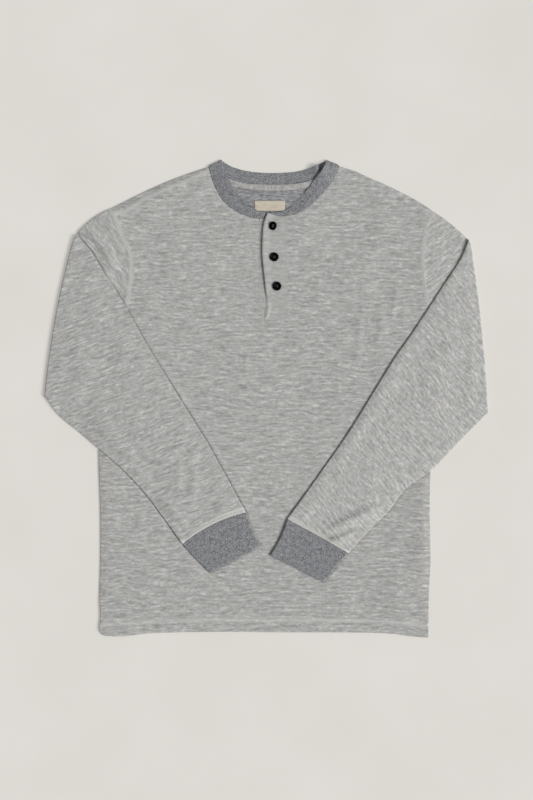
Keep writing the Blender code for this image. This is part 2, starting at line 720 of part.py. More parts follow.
def button(name, x, y, tilt):
    """A four-hole button: a domed rim round a shallow recess."""
    radius = BUTTON_DIAMETER / 2
    well = radius - BUTTON_RIM

    def low(px, py):
        return BUTTON_HEIGHT * 0.35 * smooth(math.hypot(px, py), well, radius * 1.04)

    def high(px, py):
        reach = math.hypot(px, py)
        dome = BUTTON_HEIGHT - BUTTON_HEIGHT * 0.4 * smooth(reach, radius * 0.86, radius * 1.02)
        return dome - BUTTON_RECESS * (1.0 - smooth(reach, well * 0.8, well))

    holes = []
    for quarter in range(4):
        angle = math.radians(45.0 + 90.0 * quarter)
        reach = BUTTON_HOLE_PITCH / math.sqrt(2.0)
        holes.append(circle(BUTTON_HOLE / 2, 8, reach * math.cos(angle), reach * math.sin(angle)))
    points = circle(radius * 0.88, 20) + circle(well, 20) + circle(well * 0.8, 16)
    piece = slab(name, circle(radius, 24), low, high, "button", points=points, holes=holes)
    tilted = math.radians(tilt)
    rise = abs(math.sin(tilted)) * radius - (1.0 if tilt else 0.0) * low(radius, 0.0) * math.cos(tilted)
    piece.location = (x * MM, y * MM, (placket_top(x, y) + SEAM_GAP + rise) * MM)
    piece.rotation_euler = (0.0, tilted, 0.0)
    return piece


def build():
    """Clear the scene and make every piece."""
    for thing in list(bpy.data.objects):
        bpy.data.objects.remove(thing, do_unlink=True)
    back_panel()
    front_panel()
    placket_lower()
    placket_upper()
    neck_patch()
    neck_tape()
    neck_label()
    neckband()
    sleeve("sleeve_right", -1.0, ARMHOLE_RIGHT, SLEEVE_RIGHT_SECTIONS)
    sleeve("sleeve_left", 1.0, ARMHOLE_LEFT, SLEEVE_LEFT_SECTIONS)
    cuff("cuff_right", SLEEVE_RIGHT_SECTIONS, CUFF_RIGHT_SECTIONS)
    cuff("cuff_left", SLEEVE_LEFT_SECTIONS, CUFF_LEFT_SECTIONS)
    for index, (x, y, tilt) in enumerate(BUTTONS):
        button(f"button_{index + 1}", x, y, tilt)


build()
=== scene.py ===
"""The looks of a henley shirt laid flat: cloth shells, sewing, materials, floor, light and camera.

Places and sizes are in millimetres, in the frame of the CAD model, and MM turns them into metres as the
meshes are made.  Each shell is made from nearly the same tables as its solid, in finer steps: its outline
is at most 3 mm from the solid's.  Creases, rounded edges, ribs and stitches are added here.  "Right" and
"left" are the wearer's.
"""
import math

import bpy
import numpy as np
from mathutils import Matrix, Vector
from mathutils.bvhtree import BVHTree
from mathutils.geometry import delaunay_2d_cdt


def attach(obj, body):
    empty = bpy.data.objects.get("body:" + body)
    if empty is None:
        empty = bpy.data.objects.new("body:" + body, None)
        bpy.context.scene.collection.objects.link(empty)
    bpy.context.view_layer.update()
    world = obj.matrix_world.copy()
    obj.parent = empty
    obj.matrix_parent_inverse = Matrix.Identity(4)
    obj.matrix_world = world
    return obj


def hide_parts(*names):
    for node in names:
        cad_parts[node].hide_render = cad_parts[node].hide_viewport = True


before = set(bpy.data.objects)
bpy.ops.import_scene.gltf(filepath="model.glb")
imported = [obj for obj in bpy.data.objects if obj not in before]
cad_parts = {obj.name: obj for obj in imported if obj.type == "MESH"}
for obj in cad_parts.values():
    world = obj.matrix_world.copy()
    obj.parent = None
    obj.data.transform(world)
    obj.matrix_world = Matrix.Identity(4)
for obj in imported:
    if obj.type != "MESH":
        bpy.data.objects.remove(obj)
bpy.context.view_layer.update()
MM = 0.001

# ---------------------------------------------------------------- sizes and outlines, close to the solids'
CLOTH = 1.2                # thickness of the jersey
SEAM_GAP = 0.3             # space between two layers
RIB_BAND = 1.8
RIB_CUFF = 1.5
TRIM = 1.0                 # thickness of patch and tape
NECK_LIFT = 1.6            # rise of the front over the neck patch, up to the inner of two radii
NECK_CENTRE = (12.0, 330.0)
NECK_LIFT_INNER = 70.0
NECK_LIFT_OUTER = 125.0
SLEEVE_SAG = 2.0           # how far a folded sleeve sinks where the body no longer carries it
SAG_MARGIN = 8.0
SAG_REACH = 34.0
SAG_BLEND = 7.0

PLACKET_NOTCH_RIGHT = -11.5
PLACKET_NOTCH_LEFT = 30.0
PLACKET_NOTCH_FOOT = 133.0
PLACKET_FOOT = 127.0
PLACKET_STITCHED_EDGE = 34.8
UNDERLAP_TOP = 287.7

LABEL_WIDTH = 48.6
LABEL_HEIGHT = 18.0        # with the part that curls under the front; its wave grows over all of it
LABEL_SEEN = 16.0          # the part of it that is modelled
LABEL_CENTRE_X = 5.7
LABEL_TOP = 316.3
LABEL_THICK = 0.8          # share of the trim's thickness

BUTTON_DIAMETER = 14.2
BUTTON_HEIGHT = 2.8
BUTTON_RIM = 2.0
BUTTON_RECESS = 0.9
BUTTON_HOLE = 1.7
BUTTON_HOLE_PITCH = 2.9
BUTTON_FLARE = 0.35        # share of the height by which the underside rises to the rim
BUTTON_DOME = 0.4          # share of the height by which the top falls to the rim

BACK_TOP = CLOTH
FRONT_LOW = BACK_TOP + SEAM_GAP
FRONT_TOP = FRONT_LOW + CLOTH
ROOT_MIDDLE = CLOTH + SEAM_GAP / 2
FOLD_AXIS = FRONT_TOP + SEAM_GAP / 2
FOLD_ARM = FOLD_AXIS - ROOT_MIDDLE
TRIM_LOW = BACK_TOP + SEAM_GAP
TRIM_UPPER_LOW = TRIM_LOW + TRIM + SEAM_GAP

# Outlines of the body: columns x, y.
SHOULDER_RIGHT = ((-91.4, 370.6), (-118.6, 361.6), (-151.8, 349.4), (-194.6, 330.6), (-248.2, 304.0))
ARMHOLE_RIGHT = (
    (-248.2, 304), (-237, 281), (-229, 257), (-219.5, 240), (-216, 218), (-216.5, 190), (-219.8, 164.8),
    (-229, 128), (-243, 90), (-259.4, 58.6))
SIDE_RIGHT = (
    (-259.4, 58.6), (-265, 0), (-268, -82), (-265.3, -181), (-265.1, -257), (-266.6, -311), (-265.2, -346),
    (-266.6, -363), (-266.2, -371), (-262.6, -377), (-255.2, -379.6))
HEM = (
    (-255.2, -379.6), (-228.6, -379.8), (-175.7, -374.6), (-74.7, -372.6), (6.2, -373.4), (150, -374),
    (200, -375.8), (222, -378.6), (240, -380.8), (259.4, -382.2))
SIDE_LEFT = (
    (259.4, -382.2), (260.6, -308), (263, -257), (261.8, -180), (263, -117), (268, -30), (273.4, 53.8))
ARMHOLE_LEFT = (
    (268.6, 298.6), (259.5, 284.6), (254.1, 266.4), (249.8, 232), (252.2, 189.3), (257.4, 149.1),
    (264.5, 100), (273.4, 53.8))
SHOULDER_LEFT = (
    (268.6, 298.6), (237.4, 318.6), (195.8, 339.7), (165.3, 353.1), (141.9, 363.6), (115.8, 371.8))
PLACKET_EDGE = (
    (3.8, 297), (-0.2, 291.5), (-4.6, 273.9), (-6, 251.4), (-6.3, 233), (-4.7, 211.7), (-2.3, 190.4),
    (-0.7, 171.8), (0.6, 155.6), (-1.4, 142), (-3.4, 127))
PLACKET_HEAD = ((34.8, 292.2), (24.0, 291.1), (14.0, 292.8), (3.8, 297.0))

TAPE_UPPER = (
    (-62.5, 352.4), (-39.2, 345.6), (-17, 343.2), (12, 342.3), (42, 343.4), (60, 346.4), (77, 351))
TAPE_LOWER = ((70.0, 337.4), (46.6, 333.0), (12.6, 331.6), (-17.0, 332.9), (-39.2, 335.4), (-57.0, 339.6))
PATCH_EDGE = (
    (-60, 344), (-54, 320), (-38, 296), (-14, 281), (12, 276), (38, 281), (60, 296), (71, 316), (75, 342))
PATCH_INSET = 0.8

# Neckband: seam and free edge of each section, and the height of the band's middle at both.
#            seam_x  seam_y  edge_x  edge_y  seam_z  edge_z
BAND_FRONT_RIGHT = (
    (-4.5, 288.2, -0.5, 296.8, 4.4, 6.6), (-17, 287.8, -9.6, 298.4, 4.4, 6.4),
    (-28.8, 291.2, -20.2, 304.6, 4.4, 6.2), (-46.6, 298.6, -32.5, 316, 4.3, 5.8),
    (-68.8, 316.3, -47.5, 329.2, 4.1, 5.6), (-83.5, 343, -60.5, 352.4, 3.4, 5.4),
    (-88.4, 357, -65.6, 367.8, 3.1, 3.9), (-91.4, 370.6, -70.4, 380.4, 3, 3.1))
BAND_BACK = (
    (-91.4, 370.6, -70.4, 380.4, 0.9, 0.9), (-75, 357, -63, 375.4, 0.9, 0.9),
    (-60, 350, -53.9, 370.6, 0.9, 0.9), (-39, 345, -36.5, 365.2, 0.9, 0.9),
    (-17, 342.5, -15, 361.8, 0.9, 0.9), (12, 341.6, 12, 360.6, 0.9, 0.9), (42, 342.8, 40, 362, 0.9, 0.9),
    (60, 346, 57, 364.8, 0.9, 0.9), (75, 350.2, 70, 368.6, 1.2, 4.2), (86, 354.4, 79.6, 372.8, 2.6, 8.6),
    (92, 357.2, 84.6, 375.2, 0.9, 1.4), (100, 361, 89, 377.2, 0.9, 0.9),
    (115.8, 371.8, 95.4, 380.4, 0.9, 0.9))
BAND_FRONT_LEFT = (
    (115.8, 371.8, 95.4, 380.4, 3, 3.1), (108.8, 354.9, 89.8, 366, 4, 12.2), (97, 337.1, 77, 350.4, 4, 5.6),
    (79.2, 317.8, 62, 330.4, 4.4, 4.1), (60, 301.6, 46.6, 314.6, 4.6, 3.9),
    (42.2, 294.1, 34.4, 304, 4.9, 4.3), (24, 291.2, 21, 298.4, 5.2, 4.8), (10, 293.6, 7, 298.4, 5.4, 5.2))
BAND_GAP = 0.1

# Folded sleeves, section by section from the fold to the cuff seam.
#          shoulder_x shoulder_y elbow_x  elbow_y  bow   puff
SLEEVE_RIGHT_SECTIONS = (
    (-303.6, 262, -352, 2, -6, 0), (-280.7, 236.1, -330.6, -27.8, -4, 0.5),
    (-254.1, 193.2, -298, -54.5, -1, 1.1), (-230.4, 156.5, -265, -82.2, 0, 1.4),
    (-187.3, 80, -228.2, -114.2, 0, 1.5), (-138.3, 0.4, -192.5, -152.6, -1, 1.5),
    (-92.8, -72.5, -165.2, -189, -3, 1.3), (-32.4, -182.1, -133.6, -232.4, -6.5, 0.6))
SLEEVE_LEFT_SECTIONS = (
    (323.2, 254, 351.9, -24.4, 4, 0), (311.9, 225, 330.7, -46.1, 2, 0.5),
    (284.1, 182.2, 297.3, -80.2, 1, 1.1), (234.1, 105.9, 265, -113.2, 0, 1.4),
    (203.2, 61.6, 223.4, -143.6, 0, 1.5), (135.9, -47.2, 194.6, -181.1, 0, 1.5),
    (88.4, -115.9, 166.4, -208.9, 0, 1.3), (33.6, -192.4, 131.2, -247, 0.6, 0.6))
CAP_BULGES = {-1.0: 5.0, 1.0: 2.0}    # of the root's upper edge, by side, right and left
CAP_BULGE_WAY = (0.5, 0.87)           # outward and up
#                      inner_x  inner_y  outer_x outer_y  bow
CUFF_RIGHT_SECTIONS = (
    (-27, -197, -120.8, -247, -3.5), (-20, -215, -105.2, -263.6, -1.5), (-9.9, -233.6, -89.8, -279, 0))
CUFF_LEFT_SECTIONS = (
    (28.4, -208, 114.8, -263.4, 0.3), (20.4, -226.6, 102.6, -280.2, 0), (6.4, -250.1, 90.4, -292.5, 0))
CUFF_PUFF = 0.4
#               x       y     heading  length  width  height
FRONT_FOLDS = (
    (-125, 215, -62, 170, 46, 1.3), (150, 215, 58, 180, 46, 1.3), (-15, 55, 80, 200, 60, 1),
    (-195, -300, 75, 130, 40, 1), (20, -320, -8, 220, 40, 0.8), (205, -310, 100, 150, 34, 1.2))
#          x     y      tilt
BUTTONS = (
    (11.5, 275.5, -33), (13, 226.2, 0), (17.3, 179.5, 0))

# ---------------------------------------------------------------- sizes of the shells and the sewing
GRID = 3.3                 # spacing of the points of a panel
EDGE_ROWS = (0.3, 1.0, 2.2)    # rows of points just inside an edge
EDGE_LEFT = 0.3            # share of a cloth's thickness left at its very edge
EDGE_REACH = 1.7           # distance over which an edge rounds off
SECTION_STEP = 3.3         # distance between a sleeve's sections
SLEEVE_ACROSS = 96         # points across the middle of each face of a sleeve
RIM_POINTS = 4             # points round each edge of a flattened tube
CROWD_REACH = 0.048        # share of a sleeve's width over which points crowd at the folded sleeve's edge
CROWD_GAIN = 3.0           # how much closer together they are there
CROWD_END = 70.0           # distance from the fold over which that dies out
SECTION_STEPS = 24         # steps between two sections of the tables
ROOT_ROWS = (0.0, 0.5, 1.4, 2.4, 3.4, 4.6)    # sections near the armhole, from the seam
SLEEVE_END_ROWS = (8.0, 6.8, 5.8, 4.8, 3.6, 2.4, 1.4, 0.6, 0.0)    # sections near the cuff, from its seam
CUFF_START_ROWS = (0.0, 0.5, 1.2, 2.2)
CUFF_END_ROWS = (2.2, 1.2, 0.5, 0.15, 0.0)
ROLL_STEPS = 14            # sections round the fold of a sleeve
ROLL_SQUARE = 0.6          # 1 for a round fold, less for a flatter one with a tighter edge
ROLL_TIP = 0.3             # share of the fold's roundness that is left at its shoulder end
ROLL_TIP_REACH = 14.0
END_DRAW = 0.38            # share of a tube's wall by which its skins draw together at a cut end
END_DRAW_REACH = 1.4
RIB_PITCH = 2.5            # distance between two ribs of the rib knit
RIB_DEPTH = 0.16
RIB_POWER = 0.7            # how round the ribs are
RIB_MEAN = 0.7             # height of their wave that lies on the cloth's even surface
RIB_POINTS = 6             # points over one rib
CLOSED_GAP = 0.05          # what is left between two cloths that are sewn edge to edge
HEM_ROWS = (16.0, 22.0)    # distance of the hem's needle rows from the edge
HEM_STEP = 0.45            # extra thickness of the doubled hem
HEM_RIDGE = (3.2, 0.14)    # half width and height of the ridge under its needle rows
HEM_ROPING = (0.1, 7.3)    # height and length of the slanting ripples along it
BAND_HALF = 2.9            # half the width of a flat seam's sewn band
SEAM_RISE = 0.12           # how much such a band stands up
SEAM_STEP = 3.0            # distance between the points of a seam's line
CUFF_BAND = (1.0, 5.2)     # the sewn band above a cuff, from the seam
CUFF_RIDGE = (2.2, 0.35)   # half width and height of its ridge
SEAM_PALE = {-1.0: 0.70, 1.0: 0.38}    # how much paler an armhole's band is than the cloth beside it, by side
SHOULDER_PALE = 0.52
HEM_PALE = (20.0, 3.6, 0.36)    # middle, half width and strength of the hem's pale band
CUFF_PALE = {-1.0: (3.9, 3.4, 0.95), 1.0: (2.4, 2.8, 0.8)}    # the same for the cuff seams, by side
STITCH_PITCH = 3.0
STITCH_HALF = 0.44         # half a stitch's length, as a share of the pitch
COVER_LEAN = 0.42          # how far a cover thread leans along the seam, as a share of the pitch
THREAD_RADIUS = 0.23
COVERED_REACH = 14.0       # distance from a folded sleeve over which the folds under it die out
SWELL = 0.9                # how much the body stands up beside the sleeves that press on it
SWELL_START = 0.2          # distances from the sleeve at which it starts and is complete
SWELL_REACH = 3.2
SWELL_ELBOW = 0.45         # share of it that is missing beside the left sleeve's elbow edge
SWELL_ELBOW_REACH = (6.0, 16.0)
SWELL_MORE = 0.1           # share of it that is added beside the right sleeve's elbow edge
SWELL_MORE_REACH = (3.0, 9.0)
#       distance along the right sleeve's shoulder edge, height of the bank beside it
BANK = (
    (6, 0), (40, 0.5), (120, 0.5), (190, 0.35), (260, 0.5), (310, 0.9), (400, 0.95), (500, 0.75),
    (521, 0.4))
BANK_REACH = 10.5
JOINED_REACH = 12.0        # distance from a seam or the neckline over which creases and swell die out
SHOULDER_SEAM = (
    (-240, 296), (-217.8, 304.2), (-201.8, 315.4), (-173, 329.8), (-141, 343.4), (-118, 353), (-96, 362))
SHOULDER_RISE = 0.3        # how far the body stands up along that seam
SHOULDER_RISE_REACH = (3.0, 30.0)

# Creases: points of the line, half width and height of the ridge along it.
NARROW_CREASES = (
    (((210, 192), (204.5, 150), (199, 110)), 6.4, 1.15),
    (((188, 164), (184, 122), (178, 80)), 6, 1.1),
    (((168, 172), (165, 140), (162, 104)), 5.4, 0.6),
    (((153, 156), (150, 108), (146, 58)), 6.4, 1))
BODY_CREASES = (
    *NARROW_CREASES,
    (((136, 60), (140, 30), (144, -6)), 8, 0.7),
    (((251, -96), (250, -230), (247, -360)), 24, 1.3),
    (((212, -296), (196, -334), (184, -366)), 9, 0.7),
    (((-90, 352), (-104, 338), (-110, 312)), 9, 1.3),
    (((-238, -366), (-230, -330), (-236, -284)), 10, 0.7),
    (((-120, -352), (-128, -318), (-112, -268)), 12, 0.5),
    (((-168, 258), (-150, 226), (-139, 186)), 16, 0.5),
    (((54, 276), (78, 262), (96, 232)), 14, 0.5),
    (((-66, 160), (-58, 112), (-64, 60)), 18, 0.5),
    (((70, 128), (84, 80), (80, 30)), 16, 0.5),
    (((262, 252), (284, 262), (308, 266)), 7, 1.1),
    (((262, 214), (276, 222), (290, 226)), 6, 0.9),
    (((30, -300), (70, -312), (130, -306)), 11, 0.7))
# Creases of the right sleeve's root that run on to the edge of the folded sleeve.
FOLD_CREASES = (
    (((-306, 263), (-291, 253), (-279, 241.5), (-265, 220), (-252, 198)), 5, 0.9),
    (((-316, 260), (-301, 260), (-287, 255.5), (-274, 246), (-262.5, 233.5)), 5, -2.5),
    (((-300.5, 264.5), (-285.5, 260.5), (-266.5, 247), (-252, 228), (-244.5, 202)), 11.5, 5.6))
SLEEVE_RIGHT_CREASES = (
    (((-303, 118), (-299, 56), (-296, -6)), 17, 1.3),
    (((-332, 90), (-329, 50), (-333, 12)), 12, 0.7),
    (((-296, 206), (-276, 160), (-262, 100)), 18, 0.8),
    (((-272, -34), (-240, -70), (-210, -108), (-184, -150)), 15, 1.9),
    (((-214, -8), (-206, -52), (-200, -92)), 16, 0.9),
    (((-139, -50), (-139, -110), (-141, -176)), 13, 1.2),
    (((-124, -56), (-115.5, -118), (-119, -182)), 13, 1.2),
    (((-189, -24), (-173, -45), (-157, -64)), 4, -0.35),
    (((-168, -156), (-151, -176), (-132, -202)), 15, 2.4),
    (((-240, 74), (-226, 30), (-218, -14)), 18, 0.7),
    (((-84, -116), (-74, -146), (-66, -176)), 11, 0.8))
SLEEVE_LEFT_CREASES = (
    (((86, -214), (112, -203), (140, -190.5), (168, -177.5), (196, -166)), 11, 3.7),
    (((100, -217), (144, -198), (186, -181)), 12, 2.2),
    (((90, -231), (108, -225.5), (144, -212), (166, -204)), 7.5, 3.4),
    (((100, -236), (122, -228), (150, -217)), 11, 1.6),
    (((294.5, 175.3), (244.5, 99), (213.6, 54.7), (146.3, -54.1), (98.8, -122.8), (52, -188)), 12, 0.9),
    (((44, -168), (57, -177), (70, -186)), 6, 0.8),
    (((303, 190), (293, 130), (288, 62)), 20, 0.9),
    (((272, 84), (267, 30), (262, -26)), 30, 1.8),
    (((332, 84), (324, 34), (322, -14)), 14, 0.9),
    (((186, -38), (232, -68), (276, -98)), 5.5, 0.8),
    (((170, -70), (160, -104), (164, -140)), 14, 0.7),
    (((96, -98), (110, -112), (118, -134)), 8, 0.6))
# Soft wrinkles of the neck patch.
PATCH_CREASES = (
    (((-34, 320), (-8, 323.6), (14, 322), (34, 317)), 2.4, 1.3),
    (((-24, 327), (6, 329), (32, 325)), 1.8, 0.8),
    (((-52, 330), (-40, 318), (-30, 306)), 3, 0.5),
    (((84, 362), (66, 328), (52, 309), (36, 295), (20, 288)), 18, 1.7))
# Creases of the lower faces of the folded sleeves.
HIDDEN_CREASES = (
    (((-330, 150), (-318, 90), (-312, 40)), 10, -0.8),
    (((-300, 60), (-304, 10), (-296, -30)), 8, -0.7),
    (((332, 130), (326, 70), (330, 20)), 10, -0.8),
    (((300, 40), (308, -6), (300, -44)), 8, -0.7))

# Directions of the cloth's courses on the folded sleeves, in degrees from +X.
GRAIN_RIGHT = (19.0, 31.0)     # on the face that shows when folded, and on the other face
GRAIN_LEFT = (-50.0, -48.0)

# Lift of a folded sleeve's shoulder edge off the body: distance from the fold, lift.
EDGE_LIFT_RIGHT = ((0, 0.4), (40, 0.2), (110, 0.3), (200, 0.14), (300, 0.08), (420, 0.05))
EDGE_LIFT_LEFT = (
    (0, 2.7), (40, 1.2), (85, 0.5), (130, 0.44), (180, 0.72), (275, 0.8), (330, 0.42), (380, 0.8),
    (420, 1.5))
EDGE_LIFT_REACH = 36.0     # how far from that edge the lift dies out
EDGE_LIFT_REACH_AT_FOLD = 70.0
EDGE_LIFT_FOLD_END = 90.0  # distance from the fold beyond which it is the first of the two
# Lift of the elbow edge, by side: distance from the fold, lift.
ELBOW_LIFT = {-1.0: ((358, 0.0), (382, 1.5), (408, 1.5), (418, 0.4)), 1.0: ((0, 0.0), (418, 0.0))}
ELBOW_LIFT_REACH = 14.0
ROLL_OFF = {-1.0: 0.0, 1.0: 1.1}    # how far the upper face rises between its two edges, by side
ROLL_OFF_REACH = 8.5
CREASES_FROM = (2.0, 22.0)     # distances from the fold between which the creases of a folded sleeve grow
ROLL_OFF_FROM = (0.0, 30.0)    # the same for the rise of its upper face


# ---------------------------------------------------------------- curves and heights
def smooth(value, start, end):
    """0 before start, 1 after end, and a smooth rise between them."""
    share = np.clip((value - start) / (end - start), 0.0, 1.0)
    return share * share * (3.0 - 2.0 * share)


def fade(value, start, end):
    """1 before start, 0 after end, and a smooth fall between them."""
    return 1.0 - smooth(value, start, end)


def arc(share):
    """Height of a quarter circle at a share of its width, from 0 at 0 to 1 at 1 and beyond."""
    return np.sqrt(1.0 - (1.0 - np.clip(share, 0.0, 1.0)) ** 2)


def rounded(distance, reach=EDGE_REACH):
    """Share of a cloth's thickness at a distance from its rounded edge."""
    return EDGE_LEFT + (1.0 - EDGE_LEFT) * arc(distance / reach)


def spline(points, steps=12):
    """Rows on a Catmull-Rom curve through the given rows, with a number of steps between each two."""
    rows = np.asarray(points, float)
    padded = np.vstack((rows[:1], rows, rows[-1:]))
    share = (np.arange(steps) / steps)[:, None]
    parts = []
    for a, b, c, d in zip(padded, padded[1:], padded[2:], padded[3:]):
        part = 2.0 * b + (c - a) * share
        part = part + (2.0 * a - 5.0 * b + 4.0 * c - d) * share ** 2
        part = part + (3.0 * b - a - 3.0 * c + d) * share ** 3
        parts.append(0.5 * part)
    return np.vstack((*parts, rows[-1:]))


def places_on(line):
    """Distance of each point of a polyline from its start."""
    return np.concatenate(([0.0], np.cumsum(np.linalg.norm(np.diff(line, axis=0), axis=1))))


def rows_at(rows, places, targets):
    """Rows of a table at the targets, read between the places of its own rows."""
    return np.column_stack([np.interp(targets, places, rows[:, k]) for k in range(rows.shape[1])])


def resampled(line, step):
    """A polyline with points at equal distances of about one step."""
    line = np.asarray(line, float)
    places = places_on(line)
    count = max(2, round(places[-1] / step) + 1)
    return rows_at(line, places, np.linspace(0.0, places[-1], count))


def curve(points, step=GRID):
    """Evenly spaced points on the smooth curve through the given points."""
    return resampled(spline(points), step)


def rectangle(right, left, foot, head, step):
    """Evenly spaced points on the outline of a rectangle."""
    corners = ((right, foot), (left, foot), (left, head), (right, head), (right, foot))
    return resampled(corners, step)[:-1]


def unit(vector):
    """A vector's direction."""
    return vector / np.linalg.norm(vector)


def normals_of(line):
    """Unit normals to the left of a polyline's way."""
    way = np.gradient(line, axis=0)
    return np.column_stack((-way[:, 1], way[:, 0])) / np.linalg.norm(way, axis=1)[:, None]


def beside(line, offset):
    """A polyline moved by an offset to the left of its way."""
    return line + normals_of(line) * offset


def moved_out(line, side, gap):
    """A polyline moved by a gap along its own normals, towards +X or -X."""
    normals = normals_of(line)
    normals *= np.sign(normals[:, :1] * side)
    return line + normals * gap


def ring(*parts):
    """A closed outline from curves that follow each other, without repeated points."""
    joined = np.vstack(parts)
    gaps = np.linalg.norm(joined - np.roll(joined, 1, axis=0), axis=1)
    return joined[gaps > 0.01]


def distance_to(line, x, y):
    """Distance from each point to a polyline, and the distance along it of the nearest place."""
    best = np.full(np.shape(x), 1e9)
    along = np.zeros(np.shape(x))
    for start, end, place in zip(line, line[1:], places_on(line)):
        way = end - start
        size = max(float(np.hypot(*way)), 1e-6)
        share = np.clip(((x - start[0]) * way[0] + (y - start[1]) * way[1]) / size ** 2, 0.0, 1.0)
        away = np.hypot(x - start[0] - share * way[0], y - start[1] - share * way[1])
        nearer = away < best
        best = np.where(nearer, away, best)
        along = np.where(nearer, place + share * size, along)
    return best, along


def away_from(line, x, y):
    """Distance from each point to a polyline."""
    return distance_to(line, x, y)[0]


def inside(outline, x, y):
    """Whether each point lies inside a closed outline."""
    result = np.zeros(np.shape(x), bool)
    for (x1, y1), (x2, y2) in zip(outline, np.roll(outline, -1, axis=0)):
        if y1 != y2:
            result ^= ((y1 > y) != (y2 > y)) & (x < x1 + (x2 - x1) * (y - y1) / (y2 - y1))
    return result


def relief(creases, x, y):
    """Height that a table of creases adds at each point."""
    height = np.zeros(np.shape(x))
    for points, width, rise in creases:
        line = spline(points, 6)
        length = places_on(line)[-1]
        away, along = distance_to(line, x, y)
        taper = np.sin(np.pi * np.clip(along / length, 0.0, 1.0)).clip(0.0) ** 0.7
        height += rise * np.exp(-2.0 * (away / width) ** 2) * taper
    return height


def sleeve_outline(sections, cuff):
    """Plan outline of a folded sleeve with its cuff."""
    rows = np.array(sections)
    ends = np.array(cuff)
    return np.vstack((rows[:, 0:2], ends[:, 0:2], ends[::-1, 2:4], rows[::-1, 2:4]))


SHOULDER_LINE = curve(SHOULDER_SEAM, SEAM_STEP)
COVERS = (sleeve_outline(SLEEVE_RIGHT_SECTIONS, CUFF_RIGHT_SECTIONS),
          sleeve_outline(SLEEVE_LEFT_SECTIONS, CUFF_LEFT_SECTIONS))
BANK_LINE = spline([row[0:2] for row in SLEEVE_RIGHT_SECTIONS])
ELBOW_LINE = spline([row[2:4] for row in SLEEVE_LEFT_SECTIONS[2:]])
ELBOW_LINE_RIGHT = spline([row[2:4] for row in SLEEVE_RIGHT_SECTIONS[3:]])


def cover_distance(x, y):
    """Distance from the nearest folded sleeve, or 0 under it."""
    nearest = np.full(np.shape(x), 1e9)
    for outline in COVERS:
        away = away_from(np.vstack((outline, outline[:1])), x, y)
        nearest = np.minimum(nearest, np.where(inside(outline, x, y), 0.0, away))
    return nearest


def neck_lift(x, y):
    """Rise of the front layer over the neck patch."""
    radius = np.hypot(x - NECK_CENTRE[0], y - NECK_CENTRE[1])
    return NECK_LIFT * fade(radius, NECK_LIFT_INNER, NECK_LIFT_OUTER)


def broad_folds(x, y):
    """Rise of the front in the broad soft folds that its solid has too."""
    height = np.zeros(np.shape(x))
    for fold_x, fold_y, heading, length, width, rise in FRONT_FOLDS:
        along_x = math.cos(math.radians(heading))
        along_y = math.sin(math.radians(heading))
        along = (x - fold_x) * along_x + (y - fold_y) * along_y
        across = (y - fold_y) * along_x - (x - fold_x) * along_y
        height += rise * fade(np.abs(along), 0.0, length / 2) * fade(np.abs(across), 0.0, width)
    return height


JOINED_EDGES = (curve(SHOULDER_RIGHT), curve(SIDE_RIGHT[:6]), curve(SIDE_LEFT[1:]), curve(SHOULDER_LEFT))
NECKLINE = (spline(BAND_FRONT_RIGHT)[:, :2], spline(BAND_FRONT_LEFT)[:, :2])


def body_rise(x, y):
    """Rise of the front layer, body and sleeve roots alike, above its flat height."""
    clear = cover_distance(x, y)
    creases = np.maximum(relief(BODY_CREASES, x, y), 0.0) * smooth(clear, 1.0, COVERED_REACH)
    beside_sleeve = smooth(clear, SWELL_START, SWELL_REACH)
    swell = SWELL * beside_sleeve
    swell = swell * (1.0 - SWELL_ELBOW * fade(away_from(ELBOW_LINE, x, y), *SWELL_ELBOW_REACH))
    swell = swell * (1.0 + SWELL_MORE * fade(away_from(ELBOW_LINE_RIGHT, x, y), *SWELL_MORE_REACH))
    bank_away, bank_along = distance_to(BANK_LINE, x, y)
    bank = np.interp(bank_along, *np.array(BANK).T) * beside_sleeve
    bank = bank * fade(bank_away, SWELL_REACH, BANK_REACH)
    near_fold = relief(FOLD_CREASES, x, y) * smooth(clear, SWELL_START, 3.0)
    for line in NECKLINE:
        swell = swell * smooth(away_from(line, x, y), 0.0, JOINED_REACH)
    for line in JOINED_EDGES:
        joined = smooth(away_from(line, x, y), 0.0, JOINED_REACH)
        creases = creases * joined
        swell = swell * joined
    shoulder = SHOULDER_RISE * smooth(away_from(JOINED_EDGES[0], x, y), 0.0, 7.0)
    shoulder = shoulder * fade(away_from(SHOULDER_LINE, x, y), *SHOULDER_RISE_REACH)
    return neck_lift(x, y) + broad_folds(x, y) + creases + swell + shoulder + bank + near_fold


def seam_ridge(away, half=BAND_HALF, rise=SEAM_RISE):
    """Low flat ridge of the layers inside a sewn band, by the distance from its middle."""
    return rise * fade(np.abs(away), half * 0.5, half * 1.5)


def hem_profile(hem):
    """What the hem adds to the cloth at a distance from its edge: the ridge of its rows, and its step."""
    ridge = seam_ridge(hem - sum(HEM_ROWS) / 2, *HEM_RIDGE)
    return ridge, HEM_STEP * fade(hem, HEM_ROWS[1] - 1.0, HEM_ROWS[1] + 1.5)


# ---------------------------------------------------------------- meshes
def volume(points, faces):
    """Signed volume inside arrays of faces."""
    total = 0.0
    for block in faces:
        for k in range(1, block.shape[1] - 1):
            a, b, c = points[block[:, 0]], points[block[:, k]], points[block[:, k + 1]]
            total += float(np.einsum("ij,ij->", a, np.cross(b, c)))
    return total


